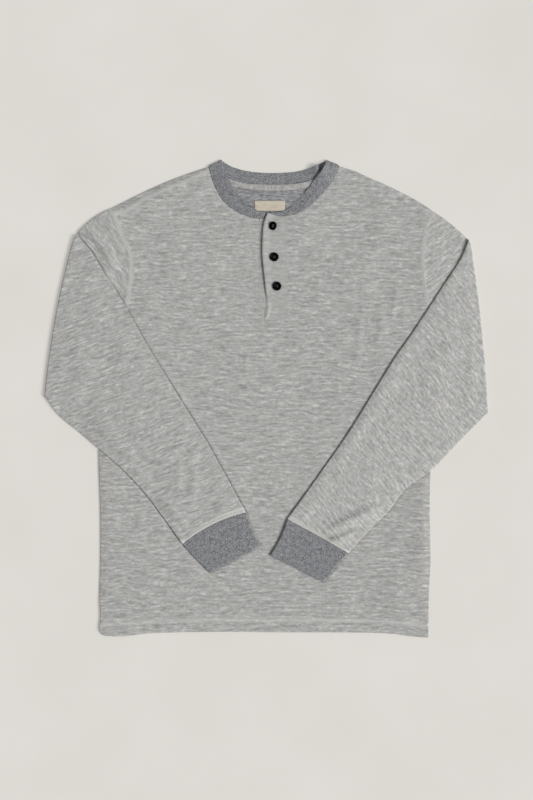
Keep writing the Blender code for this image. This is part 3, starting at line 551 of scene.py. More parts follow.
def build_object(name, points, faces, cloth_places, material, pale=None):
    """An object from points, arrays of faces, and the place in the cloth of each face's corners."""
    if volume(points, faces) < 0.0:
        faces = [block[:, ::-1] for block in faces]
        cloth_places = [block[:, ::-1] for block in cloth_places]
    mesh = bpy.data.meshes.new(name)
    mesh.from_pydata((points * MM).tolist(), [], [row for block in faces for row in block.tolist()])
    corners = np.concatenate([block.reshape(-1, 2) for block in cloth_places]) * MM
    mesh.uv_layers.new(name="UVMap").data.foreach_set("uv", corners.ravel())
    if pale is not None:
        mesh.attributes.new("pale", "FLOAT", "POINT").data.foreach_set("value", pale)
    mesh.shade_smooth()
    mesh.materials.append(material)
    piece = bpy.data.objects.new(name, mesh)
    bpy.context.scene.collection.objects.link(piece)
    return piece


def plan(outline, spacing=GRID, lines=(), holes=(), rows=EDGE_ROWS):
    """Points and triangles that fill an outline, and each point's distance from its edge.

    Rows of points follow the outline just inside it.  Each line is (path, offsets) and gets rows beside it.
    """
    closed = [np.vstack((part, part[:1])) for part in (outline, *holes)]
    corners = [outline, *holes]
    edges = []
    first = 0
    for part in corners:
        count = len(part)
        edges += [(first + i, first + (i + 1) % count) for i in range(count)]
        first += count

    def edge_distance(points):
        return np.min([away_from(line, points[:, 0], points[:, 1]) for line in closed], axis=0)

    def within(points):
        result = inside(outline, points[:, 0], points[:, 1])
        for hole in holes:
            result &= ~inside(hole, points[:, 0], points[:, 1])
        return result

    for offset in rows:
        for line in closed:
            for side in (offset, -offset):
                row = beside(line, side)[:-1]
                corners.append(row[within(row) & (edge_distance(row) > offset * 0.9)])
    clear = rows[-1] + spacing * 0.4
    low, high = outline.min(axis=0), outline.max(axis=0)
    across = np.arange(low[0], high[0], spacing)
    up = np.arange(low[1] + spacing / 2, high[1], spacing * 0.9)
    grid_x, grid_y = np.meshgrid(across, up)
    grid_x[::2] += spacing / 2
    grid = np.column_stack((grid_x.ravel(), grid_y.ravel()))
    grid = grid[within(grid)]
    grid = grid[edge_distance(grid) > clear]
    for path, offsets in lines:
        reach = max(abs(offset) for offset in offsets) + spacing * 0.4
        grid = grid[away_from(path, grid[:, 0], grid[:, 1]) > reach]
        for offset in offsets:
            row = beside(path, offset)
            row = row[within(row)]
            corners.append(row[edge_distance(row) > rows[-1] + 0.5])
    corners.append(grid)
    every = [Vector(point) for point in np.vstack(corners).tolist()]
    made = delaunay_2d_cdt(every, edges, [], 1, 1e-5)
    points = np.array([point[:] for point in made[0]])
    triangles = np.array([face for face in made[2] if len(face) == 3])
    middles = points[triangles].mean(axis=1)
    triangles = triangles[within(middles)]
    a, b, c = (points[triangles[:, k]] for k in range(3))
    turns = (b[:, 0] - a[:, 0]) * (c[:, 1] - a[:, 1]) - (b[:, 1] - a[:, 1]) * (c[:, 0] - a[:, 0])
    triangles = triangles[np.abs(turns) > 1e-7]
    turns = turns[np.abs(turns) > 1e-7]
    triangles[turns < 0.0] = triangles[turns < 0.0][:, ::-1]
    used, triangles = np.unique(triangles, return_inverse=True)
    return points[used], triangles.reshape(-1, 3), edge_distance(points[used])


def slab(name, flat, low, thick, material, under=0.5, edge=None, pale=0.0):
    """A closed shell over a plan.

    low, thick, edge and pale are one value for all points or one for each.  under is the share of the edge's
    rounding that the underside takes, and edge the share of the thickness that is left.
    """
    points, triangles, away = flat
    share = rounded(away) if edge is None else edge
    bottom = low + thick * (1.0 - share) * under
    top = low + thick * (1.0 - (1.0 - share) * (1.0 - under))
    count = len(points)
    every = np.vstack((np.column_stack((points, bottom)), np.column_stack((points, top))))
    start = triangles.ravel()
    end = np.roll(triangles, -1, axis=1).ravel()
    rim = ~np.isin(start * count + end, end * count + start)
    sides = np.column_stack((start[rim], end[rim], end[rim] + count, start[rim] + count))
    cloth = np.vstack((points, points))
    faces = [triangles[:, ::-1], triangles + count, sides]
    shades = np.tile(np.broadcast_to(pale, count), 2)
    return build_object(name, every, faces, [cloth[block] for block in faces], material, shades)


def crowded(count, place, gain):
    """Shares from 0 to 1, closer together round a place."""
    even = np.linspace(0.0, 1.0, 400)
    weight = 1.0 + gain * np.exp(-((even - place) / CROWD_REACH) ** 2)
    total = np.concatenate(((0.0,), np.cumsum((weight[1:] + weight[:-1]) / 2.0)))
    return np.interp(np.linspace(0.0, total[-1], count), total, even)


def tube_loops(width, wall, puff, trim, across=SLEEVE_ACROSS, crowd=(0.0, 0.0)):
    """Outer and inner loops of a flattened tube: distances across, heights, and share of the full height.

    A loop starts at the shoulder edge, crosses the upper face and comes back on the lower one.  trim pulls
    both skins towards the middle of the wall, which rounds the end of a tube.  crowd is the share of the
    width where the points lie closer together, and how much closer.
    """
    shares = crowded(across, *crowd)[1:-1]
    loops = []
    for inset, half in ((trim, wall + SEAM_GAP / 2 - trim), (wall - trim, SEAM_GAP / 2 + trim)):
        turn = np.linspace(0.0, np.pi / 2, RIM_POINTS + 1)[1:]
        rim = half * (1.0 - np.cos(turn))
        span = width - 2.0 * inset
        face = np.concatenate((rim, rim[-1] + (span - 2.0 * rim[-1]) * shares, span - rim[::-1]))
        upper = np.concatenate((np.sin(turn), np.ones(across - 2), np.sin(turn)[::-1]))
        places = inset + np.concatenate(((0.0,), face, (span,), face[::-1]))
        units = np.concatenate(((0.0,), upper, (0.0,), -upper[::-1]))
        puffed = puff * np.sin(np.pi * np.clip(places / width, 0.0, 1.0))
        loops.append((places, units * half + np.where(units > 0.0, units * puffed, 0.0), units))
    return loops


def skin_between(index):
    """Faces between neighbouring rings of point numbers; the last two axes are ring and place in it."""
    after = np.roll(index, -1, axis=-1)
    return np.stack((index[..., :-1, :], after[..., :-1, :], after[..., 1:, :], index[..., 1:, :]), axis=-1)


def tube_object(name, outer, inner, upper_cloth, lower_cloth, material, pale=0.0):
    """A tube of rings with a lining, whose two faces each have their own places in the cloth."""
    sections, count, _ = outer.shape
    split = count // 2
    index = np.arange(sections * count).reshape(sections, count)
    after = np.roll(index, -1, axis=1)
    skin = skin_between(index)
    rims = [np.stack((index[k], after[k], after[k] + index.size, index[k] + index.size), axis=-1)
            for k in (0, -1)]
    both = (upper_cloth.reshape(-1, 2), lower_cloth.reshape(-1, 2))
    faces = []
    cloth = []
    for part, start, end in ((0, 0, split), (1, split, count)):
        patch = skin[:, start:end].reshape(-1, 4)
        near_rim = rims[0][start:end]
        far_rim = rims[1][start:end]
        faces += [patch[:, ::-1], patch + index.size, near_rim, far_rim[:, ::-1]]
        places = np.vstack((both[part], both[part]))
        cloth += [places[block] for block in faces[-4:]]
    points = np.vstack((outer.reshape(-1, 3), inner.reshape(-1, 3)))
    shades = np.tile(np.broadcast_to(pale, (sections, count)).ravel(), 2)
    return build_object(name, points, faces, cloth, material, shades)


def strand_object(name, strands, radius, material, sides=5):
    """Threads: one closed tapered tube along each strand of an array (strands, points, 3)."""
    way = np.gradient(strands, axis=1)
    way /= np.linalg.norm(way, axis=2)[:, :, None]
    side = np.cross(way, (0.0, 0.0, 1.0))
    side /= np.linalg.norm(side, axis=2)[:, :, None]
    up = np.cross(side, way)
    total, count, _ = strands.shape
    swell = radius * (0.45 + 0.55 * np.sin(np.pi * np.linspace(0.0, 1.0, count)) ** 0.5)
    turn = 2.0 * np.pi * np.arange(sides) / sides
    ring_at = side[:, :, None] * np.cos(turn)[:, None] + up[:, :, None] * np.sin(turn)[:, None]
    points = strands[:, :, None] + ring_at * swell[None, :, None, None]
    index = np.arange(total * count * sides).reshape(total, count, sides)
    faces = [skin_between(index).reshape(-1, 4), index[:, 0, ::-1], index[:, -1]]
    flat = points.reshape(-1, 3)
    return build_object(name, flat, faces, [flat[block][:, :, :2] for block in faces], material)


# ---------------------------------------------------------------- panels
def body_edge():
    """The edge that back and front share, from the right shoulder point round the hem to the left one."""
    return [curve(SHOULDER_RIGHT), curve(ARMHOLE_RIGHT), curve(SIDE_RIGHT), curve(HEM), curve(SIDE_LEFT),
            curve(ARMHOLE_LEFT)[::-1], curve(SHOULDER_LEFT)]


def seam_of(rows):
    """The seam's side of the neckband, which is also the edge of the panel."""
    return resampled(spline(rows)[:, :2], GRID)


HEM_LINE = curve(HEM)
ARMHOLES = (curve(ARMHOLE_RIGHT, SEAM_STEP), curve(ARMHOLE_LEFT, SEAM_STEP))
# Where the front has extra rows of points: across a sewn band, across a sleeve's edge, from the hem's edge.
BAND_LINES = (-4.4, -3.4, -2.4, -1.2, 0.0, 1.2, 2.4, 3.4, 4.4)
COVER_LINES = (-3.4, -2.4, -1.5, -0.8, -0.2, 0.2, 0.8, 1.5, 2.4, 3.4)
HEM_LINES = (13.0, 15.0, 16.0, 17.0, 19.0, 21.0, 22.0, 23.0, 25.0)
HEM_FLAT = (4.0, 12.0)         # distance from the hem over which the underside's rounding ends
SEWN_REACH = (0.3, 2.5)        # distance from a seam over which the edge is full, and is rounded again
HEM_UNDER = 0.5                # how much of the rounding the underside takes at the hem
NECK_UNDER = (0.4, 2.0, 6.0)   # the same at the neckline, and the distances over which it ends
NECK_EDGE = (0.75, 1.0, 4.0)   # least share of the thickness there, and the distances over which it ends
SHOULDER_THIN = (0.4, 1.0, 14.0)    # how much thinner the front gets behind the shoulder seam, and where
NECK_RIDGE = (3.2, 2.4, 0.3)   # ridge along the neckline: place, half width, height
NECK_PALE = (3.0, 2.2, 0.12)   # pale band along the neckline: place, half width, strength


def back_panel(material):
    """The back, flat on the floor, with its underside rounded off only at the edge."""
    flat = plan(ring(*body_edge(), seam_of(BAND_BACK)[::-1]), spacing=6.0)
    x, y = flat[0].T
    under = 1.0 - HEM_UNDER * fade(away_from(HEM_LINE, x, y), *HEM_FLAT)
    return slab("back_cloth", flat, 0.0, CLOTH, material, under=under)


def front_panel(material):
    """The front, with its round neck and the slit that the placket fills."""
    neck_left = seam_of(BAND_FRONT_LEFT)
    neck_left = neck_left[neck_left[:, 0] > PLACKET_NOTCH_LEFT + 1.0]
    neck_right = seam_of(BAND_FRONT_RIGHT)
    neck_right = neck_right[neck_right[:, 0] < PLACKET_NOTCH_RIGHT - 1.0]
    foot = PLACKET_NOTCH_FOOT
    slit = resampled(((PLACKET_NOTCH_LEFT, neck_left[-1][1]), (PLACKET_NOTCH_LEFT, foot),
                      (PLACKET_NOTCH_RIGHT, foot), (PLACKET_NOTCH_RIGHT, neck_right[0][1])), 3.1)
    lines = [(line, BAND_LINES) for line in (*ARMHOLES, SHOULDER_LINE)]
    lines += [(resampled(np.vstack((cover, cover[:1])), 3.5), COVER_LINES) for cover in COVERS]
    lines += [(HEM_LINE, HEM_LINES)]
    lines += [(spline(points, 6), (-width, -0.5 * width, 0.0, 0.5 * width, width))
              for points, width, _ in NARROW_CREASES]
    flat = plan(ring(*body_edge(), neck_left, slit, neck_right), lines=lines)
    x, y = flat[0].T
    hem = away_from(HEM_LINE, x, y)
    low = FRONT_LOW + body_rise(x, y)
    ridge, step = hem_profile(hem)
    height, length = HEM_ROPING
    roping = height * np.sin(2.0 * np.pi * (x + hem * 0.8) / length)
    roping = roping * seam_ridge(hem - sum(HEM_ROWS) / 2, 3.0, 1.0)
    pale = seam_ridge(hem - HEM_PALE[0], *HEM_PALE[1:])
    sewn = fade(away_from(slit, x, y), *SEWN_REACH)
    for line, shade in zip((*ARMHOLES, SHOULDER_LINE), (*SEAM_PALE.values(), SHOULDER_PALE)):
        away = away_from(line, x, y)
        ridge += seam_ridge(away)
        pale = np.maximum(pale, shade * seam_ridge(away, BAND_HALF, 1.0))
    for line in ARMHOLES:
        sewn = np.maximum(sewn, fade(away_from(line, x, y), *SEWN_REACH))
    neck = np.minimum(away_from(neck_left, x, y), away_from(neck_right, x, y))
    ridge += seam_ridge(neck - NECK_RIDGE[0], *NECK_RIDGE[1:])
    pale = np.maximum(pale, NECK_PALE[2] * seam_ridge(neck - NECK_PALE[0], NECK_PALE[1], 1.0))
    past_seam = away_from(SHOULDER_LINE, x, y) * (y > np.interp(x, *SHOULDER_LINE.T))
    thick = CLOTH + ridge + roping + step
    thick -= SHOULDER_THIN[0] * smooth(past_seam, *SHOULDER_THIN[1:])
    under = np.maximum(HEM_UNDER * fade(hem, *HEM_FLAT), NECK_UNDER[0] * fade(neck, *NECK_UNDER[1:]))
    edge = np.maximum(rounded(flat[2]), sewn)
    edge = np.maximum(edge, NECK_EDGE[0] * fade(neck, *NECK_EDGE[1:]))
    return slab("front_cloth", flat, low, thick, material, under=under, edge=edge, pale=pale)


def placket_lower(material):
    """The underlap: the strip that fills the slit."""
    right = PLACKET_NOTCH_RIGHT + CLOSED_GAP
    left = PLACKET_NOTCH_LEFT - CLOSED_GAP
    foot = PLACKET_NOTCH_FOOT + CLOSED_GAP
    flat = plan(rectangle(right, left, foot, UNDERLAP_TOP, 2.9), spacing=3.0, rows=EDGE_ROWS[:2])
    edge = np.maximum(rounded(flat[2]), 0.9)
    return slab("placket_underlap", flat, FRONT_LOW + body_rise(*flat[0].T), CLOTH, material, edge=edge)


PLACKET_LINE = curve(PLACKET_EDGE, 2.0)
PLACKET_OPENING = (155.0, 188.0, 286.0, 300.0)     # y where the edge starts to lift, is up, sinks, has sunk
PLACKET_OPEN_RISE = 2.1
PLACKET_OPEN_REACH = 13.0
PLACKET_OPEN_SINK = 0.6        # share of the rise that it loses at its head
PLACKET_CREASE_REACH = 8.0     # distance from the stitched edge over which the creases start
SEWN_OPENING = (-8.0, 12.0)    # distances along the edge, from the opening, over which it comes loose
SEWN_EDGE_REACH = 1.6
SEWN_SIDE_REACH = 30.0
SEWN_FOOT_REACH = 7.0
SEWN_SHARES = (0.12, 0.38, 0.5)     # least looseness, more inside the edge, and more where it is open
PLACKET_THIN = 0.06            # share of the thickness at the sewn side
PLACKET_PALE = (0.22, 0.5, 3.6)     # strength of the pale rim, and the distances over which it ends
TACK_PALE = (0.6, 2.6, 4.4)    # the same round the bar tack
PLACKET_CREASES = (
    (((21, 262), (24, 276), (22, 290)), 7, 0.7),
    (((2, 206), (6, 200), (18, 204)), 5, 0.5),
    (((0, 250), (10, 254), (26, 250)), 5, 0.6))
TACK_LINE = resampled(((4.6, 149.0), (0.8, 128.8)), 1.0)
TACK_HALF = 2.9                # half the width of the bar tack
TACK_PASSES = 44               # times that its thread crosses


def placket_rise(x, y):
    """Rise of the overlap above its flat height: its open edge and its small creases."""
    away = away_from(PLACKET_LINE, x, y)
    foot, up, down, head = PLACKET_OPENING
    opened = smooth(y, foot, up) * (1.0 - PLACKET_OPEN_SINK * smooth(y, down, head))
    edge_lift = PLACKET_OPEN_RISE * opened * fade(away, 0.0, PLACKET_OPEN_REACH)
    from_side = smooth(PLACKET_STITCHED_EDGE - x, 0.0, PLACKET_CREASE_REACH)
    return edge_lift + relief(PLACKET_CREASES, x, y) * from_side


def sewn_down(x, y):
    """0 at the overlap's sewn side and foot, where it lies flush on the front, and 1 away from them."""
    side = np.clip((PLACKET_STITCHED_EDGE - x) / SEWN_SIDE_REACH, 0.0, 1.0)
    opening = smooth(y, *(PLACKET_OPENING[0] + place for place in SEWN_OPENING))
    held = np.maximum(smooth(away_from(PLACKET_LINE, x, y), 0.0, SEWN_EDGE_REACH), opening)
    foot = smooth(y - PLACKET_FOOT, 0.0, SEWN_FOOT_REACH)
    least, inside_edge, open_more = SEWN_SHARES
    return side * foot * (least + (inside_edge + open_more * opening) * held)


def placket_low(x, y):
    """Underside of the overlap."""
    return FRONT_TOP + body_rise(x, y) + SEAM_GAP * sewn_down(x, y) + placket_rise(x, y)


def placket_thick(x, y):
    """Thickness of the overlap."""
    return CLOTH * (PLACKET_THIN + (1.0 - PLACKET_THIN) * sewn_down(x, y))


def placket_top(x, y):
    """Upper side of the overlap's cloth."""
    return placket_low(x, y) + placket_thick(x, y)


def placket_upper(material):
    """The overlap: the strip on top, stitched down along one edge and bowed open along the other."""
    corner = (PLACKET_STITCHED_EDGE, PLACKET_FOOT)
    head_line = curve(PLACKET_HEAD, 2.0)
    outline = ring(PLACKET_LINE, resampled((PLACKET_EDGE[-1], corner), 2.0),
                   resampled((corner, PLACKET_HEAD[0]), 2.0), head_line)
    flat = plan(outline, spacing=2.4)
    x, y = flat[0].T
    head = away_from(head_line, x, y)
    edge = away_from(PLACKET_LINE, x, y)
    tack = away_from(TACK_LINE, x, y)
    pale = PLACKET_PALE[0] * fade(np.minimum(edge, head + 0.6), *PLACKET_PALE[1:])
    pale = np.maximum(pale, TACK_PALE[0] * fade(tack, *TACK_PALE[1:]))
    soft_edge = np.maximum(rounded(flat[2], 2.6), 1.0 - sewn_down(x, y))
    return slab("placket_overlap", flat, placket_low(x, y), placket_thick(x, y), material, under=0.3,
                edge=soft_edge, pale=pale)


# ---------------------------------------------------------------- sleeves and cuffs
def rib_wave(phase):
    """Height of the ribs of the rib knit, as a share of their depth; each takes up half a turn."""
    return np.abs(np.sin(phase)) ** RIB_POWER - RIB_MEAN


def section_points(row, places):
    """Plan points of a section at distances from its shoulder edge, bowed as the table says."""
    start = row[0:2]
    way = row[2:4] - start
    length = np.linalg.norm(way)
    way = way / length
    share = places / length
    bow = row[4] * 4.0 * share * (1.0 - share)
    return start + way * places[:, None] + np.array((-way[1], way[0])) * bow[:, None]


def width_of(row):
    """Distance between the two edges of a section."""
    return float(np.linalg.norm(row[2:4] - row[0:2]))


def mirrored(points, start, way):
    """Points mirrored in the line through start along way."""
    normal = np.array((-way[1], way[0]))
    return points - 2.0 * ((points - start) @ normal)[..., None] * normal


def turned(points, degrees):
    """Cloth places of plan points, for courses that run at an angle to +X."""
    angle = math.radians(degrees)
    spin = np.array(((math.cos(angle), -math.sin(angle)), (math.sin(angle), math.cos(angle))))
    return points @ spin


def end_rows(length, step, start_rows=(), last_rows=()):
    """Distances of a tube's sections: even steps, with closer rows near its ends."""
    first = start_rows[-1] if start_rows else 0.0
    last = length - (last_rows[-1] if last_rows else 0.0)
    count = max(2, round((last - first) / step))
    middle = np.linspace(first, last, count + 1)
    return np.unique(np.concatenate((start_rows, middle, length - np.array(last_rows or (0.0,)))))


def trimmed(from_end, wall):
    """How far the skins draw together near the end of a tube, which rounds its cut edge."""
    return END_DRAW * wall * (1.0 - arc(from_end / END_DRAW_REACH))


def sleeve(name, side, armhole, sections, creases, lifts, grain, material):
    """A sleeve: a flattened tube from the armhole, folded over and laid across the front."""
    edge = moved_out(curve(armhole, 2.0), side, CLOSED_GAP)
    edge_shares = places_on(edge) / places_on(edge)[-1]
    rows = spline(sections, SECTION_STEPS)
    fold = rows[0]
    fold_start, fold_end = fold[0:2], fold[2:4]
    fold_way = unit(fold_end - fold_start)
    fold_length = width_of(fold)
    outward = np.array((fold_way[1], -fold_way[0]))
    outward *= np.sign(outward[0] * side)
    shoulder_way = unit(rows[-1, 0:2] - fold_start)
    root_way = unit(fold_end - edge[-1])
    root_below = np.array((root_way[1], -root_way[0]))
    root_below *= -np.sign(root_below[1])

    def sag(points):
        past_side = (points[:, 0] - edge[-1][0]) * side - SAG_MARGIN
        past_root = (points - edge[-1]) @ root_below - SAG_MARGIN
        past = -SAG_BLEND * np.logaddexp(-past_side / SAG_BLEND, -past_root / SAG_BLEND)
        return SLEEVE_SAG * smooth(past, 0.0, SAG_REACH)

    skins = ([], [])
    cloth = []
    pales = []

    def edge_lift(along, across, width=fold_length):
        more = (EDGE_LIFT_REACH_AT_FOLD - EDGE_LIFT_REACH) * fade(along, 0.0, EDGE_LIFT_FOLD_END)
        shoulder = np.interp(along, *np.array(lifts).T) * fade(across, 0.0, EDGE_LIFT_REACH + more)
        elbow = np.interp(along, *np.array(ELBOW_LIFT[side]).T)
        return shoulder + elbow * smooth(across, width - ELBOW_LIFT_REACH, width)

    def roll_off(across, width):
        inner = 1.0 - np.exp(-np.clip(across, 0.0, None) / ROLL_OFF_REACH)
        return ROLL_OFF[side] * inner * (1.0 - np.exp(-np.clip(width - across, 0.0, None) / ROLL_OFF_REACH))

    def add(part, points_at, width, angle, puff=0.0, trim=0.0, from_fold=0.0, from_cuff=0.0,
            crowd=(0.0, CROWD_GAIN)):
        """Adds a section of the root, the roll or the folded part."""
        for skin, (places, heights, units) in zip(skins, tube_loops(width, CLOTH, puff, trim, crowd=crowd)):
            points = points_at(places)
            arm = FOLD_ARM + heights
            z = FOLD_AXIS - arm * math.cos(angle)
            laid = points
            pale = np.zeros(len(points))
            if part == "root":
                from_seam = away_from(edge, *points.T)
                z = z + body_rise(*points.T) * (1.0 - units) / 2.0
                z = z + seam_ridge(from_seam) * np.clip(-units, 0.0, 1.0)
                laid = mirrored(points, fold_start, fold_way) + outward * math.pi * FOLD_ARM
                pale = seam_ridge(from_seam, BAND_HALF, SEAM_PALE[side])
            elif part == "roll":
                z = z + edge_lift(0.0, places) * (1.0 - math.cos(angle)) / 2.0
                laid = points + outward * (math.pi - angle) * FOLD_ARM
            else:
                raised = relief(creases, *points.T) * smooth(from_fold, *CREASES_FROM)
                raised = raised + roll_off(places, width) * smooth(from_fold, *ROLL_OFF_FROM)
                z = z - sag(points) + edge_lift(from_fold, places, width) + raised * (1.0 + units) / 2.0
                z = z + relief(HIDDEN_CREASES, *points.T) * (1.0 - units) / 2.0
                z = z + seam_ridge(from_cuff - sum(CUFF_BAND) / 2, *CUFF_RIDGE) * np.clip(units, 0.0, 1.0)
                pale = pale + seam_ridge(from_cuff - CUFF_PALE[side][0], *CUFF_PALE[side][1:])
            reach = arm * math.sin(angle) ** ROLL_SQUARE if 0.0 < angle < 3.14 else 0.0 * arm
            reach = reach * (ROLL_TIP + (1.0 - ROLL_TIP) * smooth(places, 0.0, ROLL_TIP_REACH))
            skin.append(np.column_stack((points + outward * reach[:, None], z)))
            if skin is skins[0]:
                cloth.append(laid)
                pales.append(pale)

    root_length = np.linalg.norm((fold_start + fold_end) / 2 - edge[len(edge) // 2])
    for place in end_rows(root_length, SECTION_STEP, ROOT_ROWS)[:-1]:
        share = place / root_length

        def root_points(places, share=share):
            part = np.clip(places / fold_length, 0.0, 1.0)
            mixed = rows_at(edge, edge_shares, part) * (1.0 - share) + section_points(fold, places) * share
            bulge = CAP_BULGES[side] * 4.0 * share * (1.0 - share) * (1.0 - part) ** 2
            return mixed + bulge[:, None] * np.array((side * CAP_BULGE_WAY[0], CAP_BULGE_WAY[1]))

        tries = np.linspace(0.0, fold_length, 200)
        under_edge = tries[np.argmin(away_from(rows[:, 0:2], *root_points(tries).T))] / fold_length
        add("root", root_points, fold_length, 0.0, crowd=(under_edge, CROWD_GAIN))
    for step in range(ROLL_STEPS + 1):
        add("roll", lambda places: section_points(fold, places), fold_length, math.pi * step / ROLL_STEPS)
    places = places_on((rows[:, 0:2] + rows[:, 2:4]) / 2)
    length = places[-1]
    steps = end_rows(length, SECTION_STEP, (), SLEEVE_END_ROWS)[1:]
    for place, row in zip(steps, rows_at(rows, places, steps)):
        add("folded", lambda across, row=row: section_points(row, across), width_of(row), math.pi, row[5],
            trimmed(length - place, CLOTH), place, length - place,
            (0.0, CROWD_GAIN * fade(place, 0.0, CROWD_END)))
    upper = turned(np.array(cloth), grain[0])
    lower = turned(mirrored(np.array(cloth), fold_start, shoulder_way), grain[1])
    return tube_object(name, np.array(skins[0]), np.array(skins[1]), upper, lower, material, np.array(pales))


def cuff(name, sleeve_rows, sections, lift, material):
    """A cuff: a flattened tube of rib knit, whose ribs are raised on the outside."""
    seam = sleeve_rows[-1]
    end = sections[-1]
    away = unit(np.array((seam[3] - seam[1], seam[0] - seam[2])))
    away *= np.sign(away @ np.array((end[0] - seam[0], end[1] - seam[1]))) * SEAM_GAP
    start = (seam[0] + away[0], seam[1] + away[1], seam[2] + away[0], seam[3] + away[1], seam[4])
    rows = spline((start, *sections), SECTION_STEPS)
    places = places_on((rows[:, 0:2] + rows[:, 2:4]) / 2)
    length = places[-1]
    steps = end_rows(length, 3.0, CUFF_START_ROWS, CUFF_END_ROWS)
    ribs = round(width_of(rows[0]) / RIB_PITCH)
    middle = FRONT_TOP + SEAM_GAP + RIB_CUFF + SEAM_GAP / 2
    skins = ([], [])
    upper = []
    lower = []
    for place, row in zip(steps, rows_at(rows, places, steps)):
        width = width_of(row)
        trim = 0.3 * fade(place, 0.0, 3.0) + trimmed(length - place, RIB_CUFF)
        loops = tube_loops(width, RIB_CUFF, CUFF_PUFF, trim, ribs * RIB_POINTS)
        for index, (across, heights, units) in enumerate(loops):
            points = section_points(row, across)
            if index == 0:
                heights = heights + RIB_DEPTH * rib_wave(np.pi * ribs * across / width) * units
                upper.append(np.column_stack((across, np.full(len(across), place))))
                lower.append(np.column_stack((-across, np.full(len(across), place))))
            raised = lift * fade(across, 0.0, EDGE_LIFT_REACH)
            skins[index].append(np.column_stack((points, middle + heights + raised)))
    outer, inner, upper, lower = (np.array(part) for part in (*skins, upper, lower))
    return tube_object(name, outer, inner, upper, lower, material)


# ---------------------------------------------------------------- neckband
BAND_CROWN = 0.25              # how much the band bulges between its edges
BAND_FLOOR = 0.95              # lowest place of its middle
BAND_NEAR = (0.0, 0.5, 1.3, 2.6)         # rows of points across it, from the seam
BAND_MIDDLE_ROWS = 5
BAND_FAR = (2.4, 1.2, 0.5, 0.12, 0.0)    # and from the free edge
BAND_AT_SEAM = (0.85, 0.15, 3.2)    # share of the thickness at the seam, what it gains, over which distance
BAND_PRESSED = (18.0, 60.0)    # from which to which x its left end is pressed flat
BAND_PRESSED_FADE = (8.0, 14.0)
BAND_PRESSED_EDGE = 0.3        # share of the edge's thickness that is left there


def band_rows():
    """Sections of the band from placket to placket: seam, free edge, and the normal of its first face."""
    seams = []
    edges = []
    faces = []

    def add(rows, roll, outward):
        for row in rows:
            seams.append((row[0], row[1], row[4]))
            edges.append((row[2], row[3], row[5]))
            faces.append((outward[0] * math.sin(roll), outward[1] * math.sin(roll), math.cos(roll)))

    def outward_of(row, turn):
        return unit(np.array((row[1] - row[3], row[2] - row[0])) * turn)

    def roll_rows(front, back, outward, steps):
        front, back = np.array(front), np.array(back)
        mean = (front + back) / 2
        arm = (front[4] - back[4]) / 2
        for angle in steps:
            row = mean.copy()
            row[[0, 2]] += outward[0] * arm * math.sin(angle)
            row[[1, 3]] += outward[1] * arm * math.sin(angle)
            row[4:] = (front[4] + back[4]) / 2 + arm * math.cos(angle)
            add((row,), angle, outward)

    right_tip = BAND_FRONT_RIGHT[-1]
    left_tip = BAND_FRONT_LEFT[0]
    outward_right = outward_of(right_tip, 1.0)
    outward_left = outward_of(left_tip, -1.0)
    turns = np.pi * np.arange(1, 10) / 10
    add(spline(BAND_FRONT_RIGHT), 0.0, outward_right)
    roll_rows(right_tip, BAND_BACK[0], outward_right, turns)
    add(spline(BAND_BACK), math.pi, outward_right)
    roll_rows(left_tip, BAND_BACK[-1], outward_left, turns[::-1])
    add(spline(BAND_FRONT_LEFT), 0.0, outward_left)
    return np.array(seams), np.array(edges), np.array(faces)


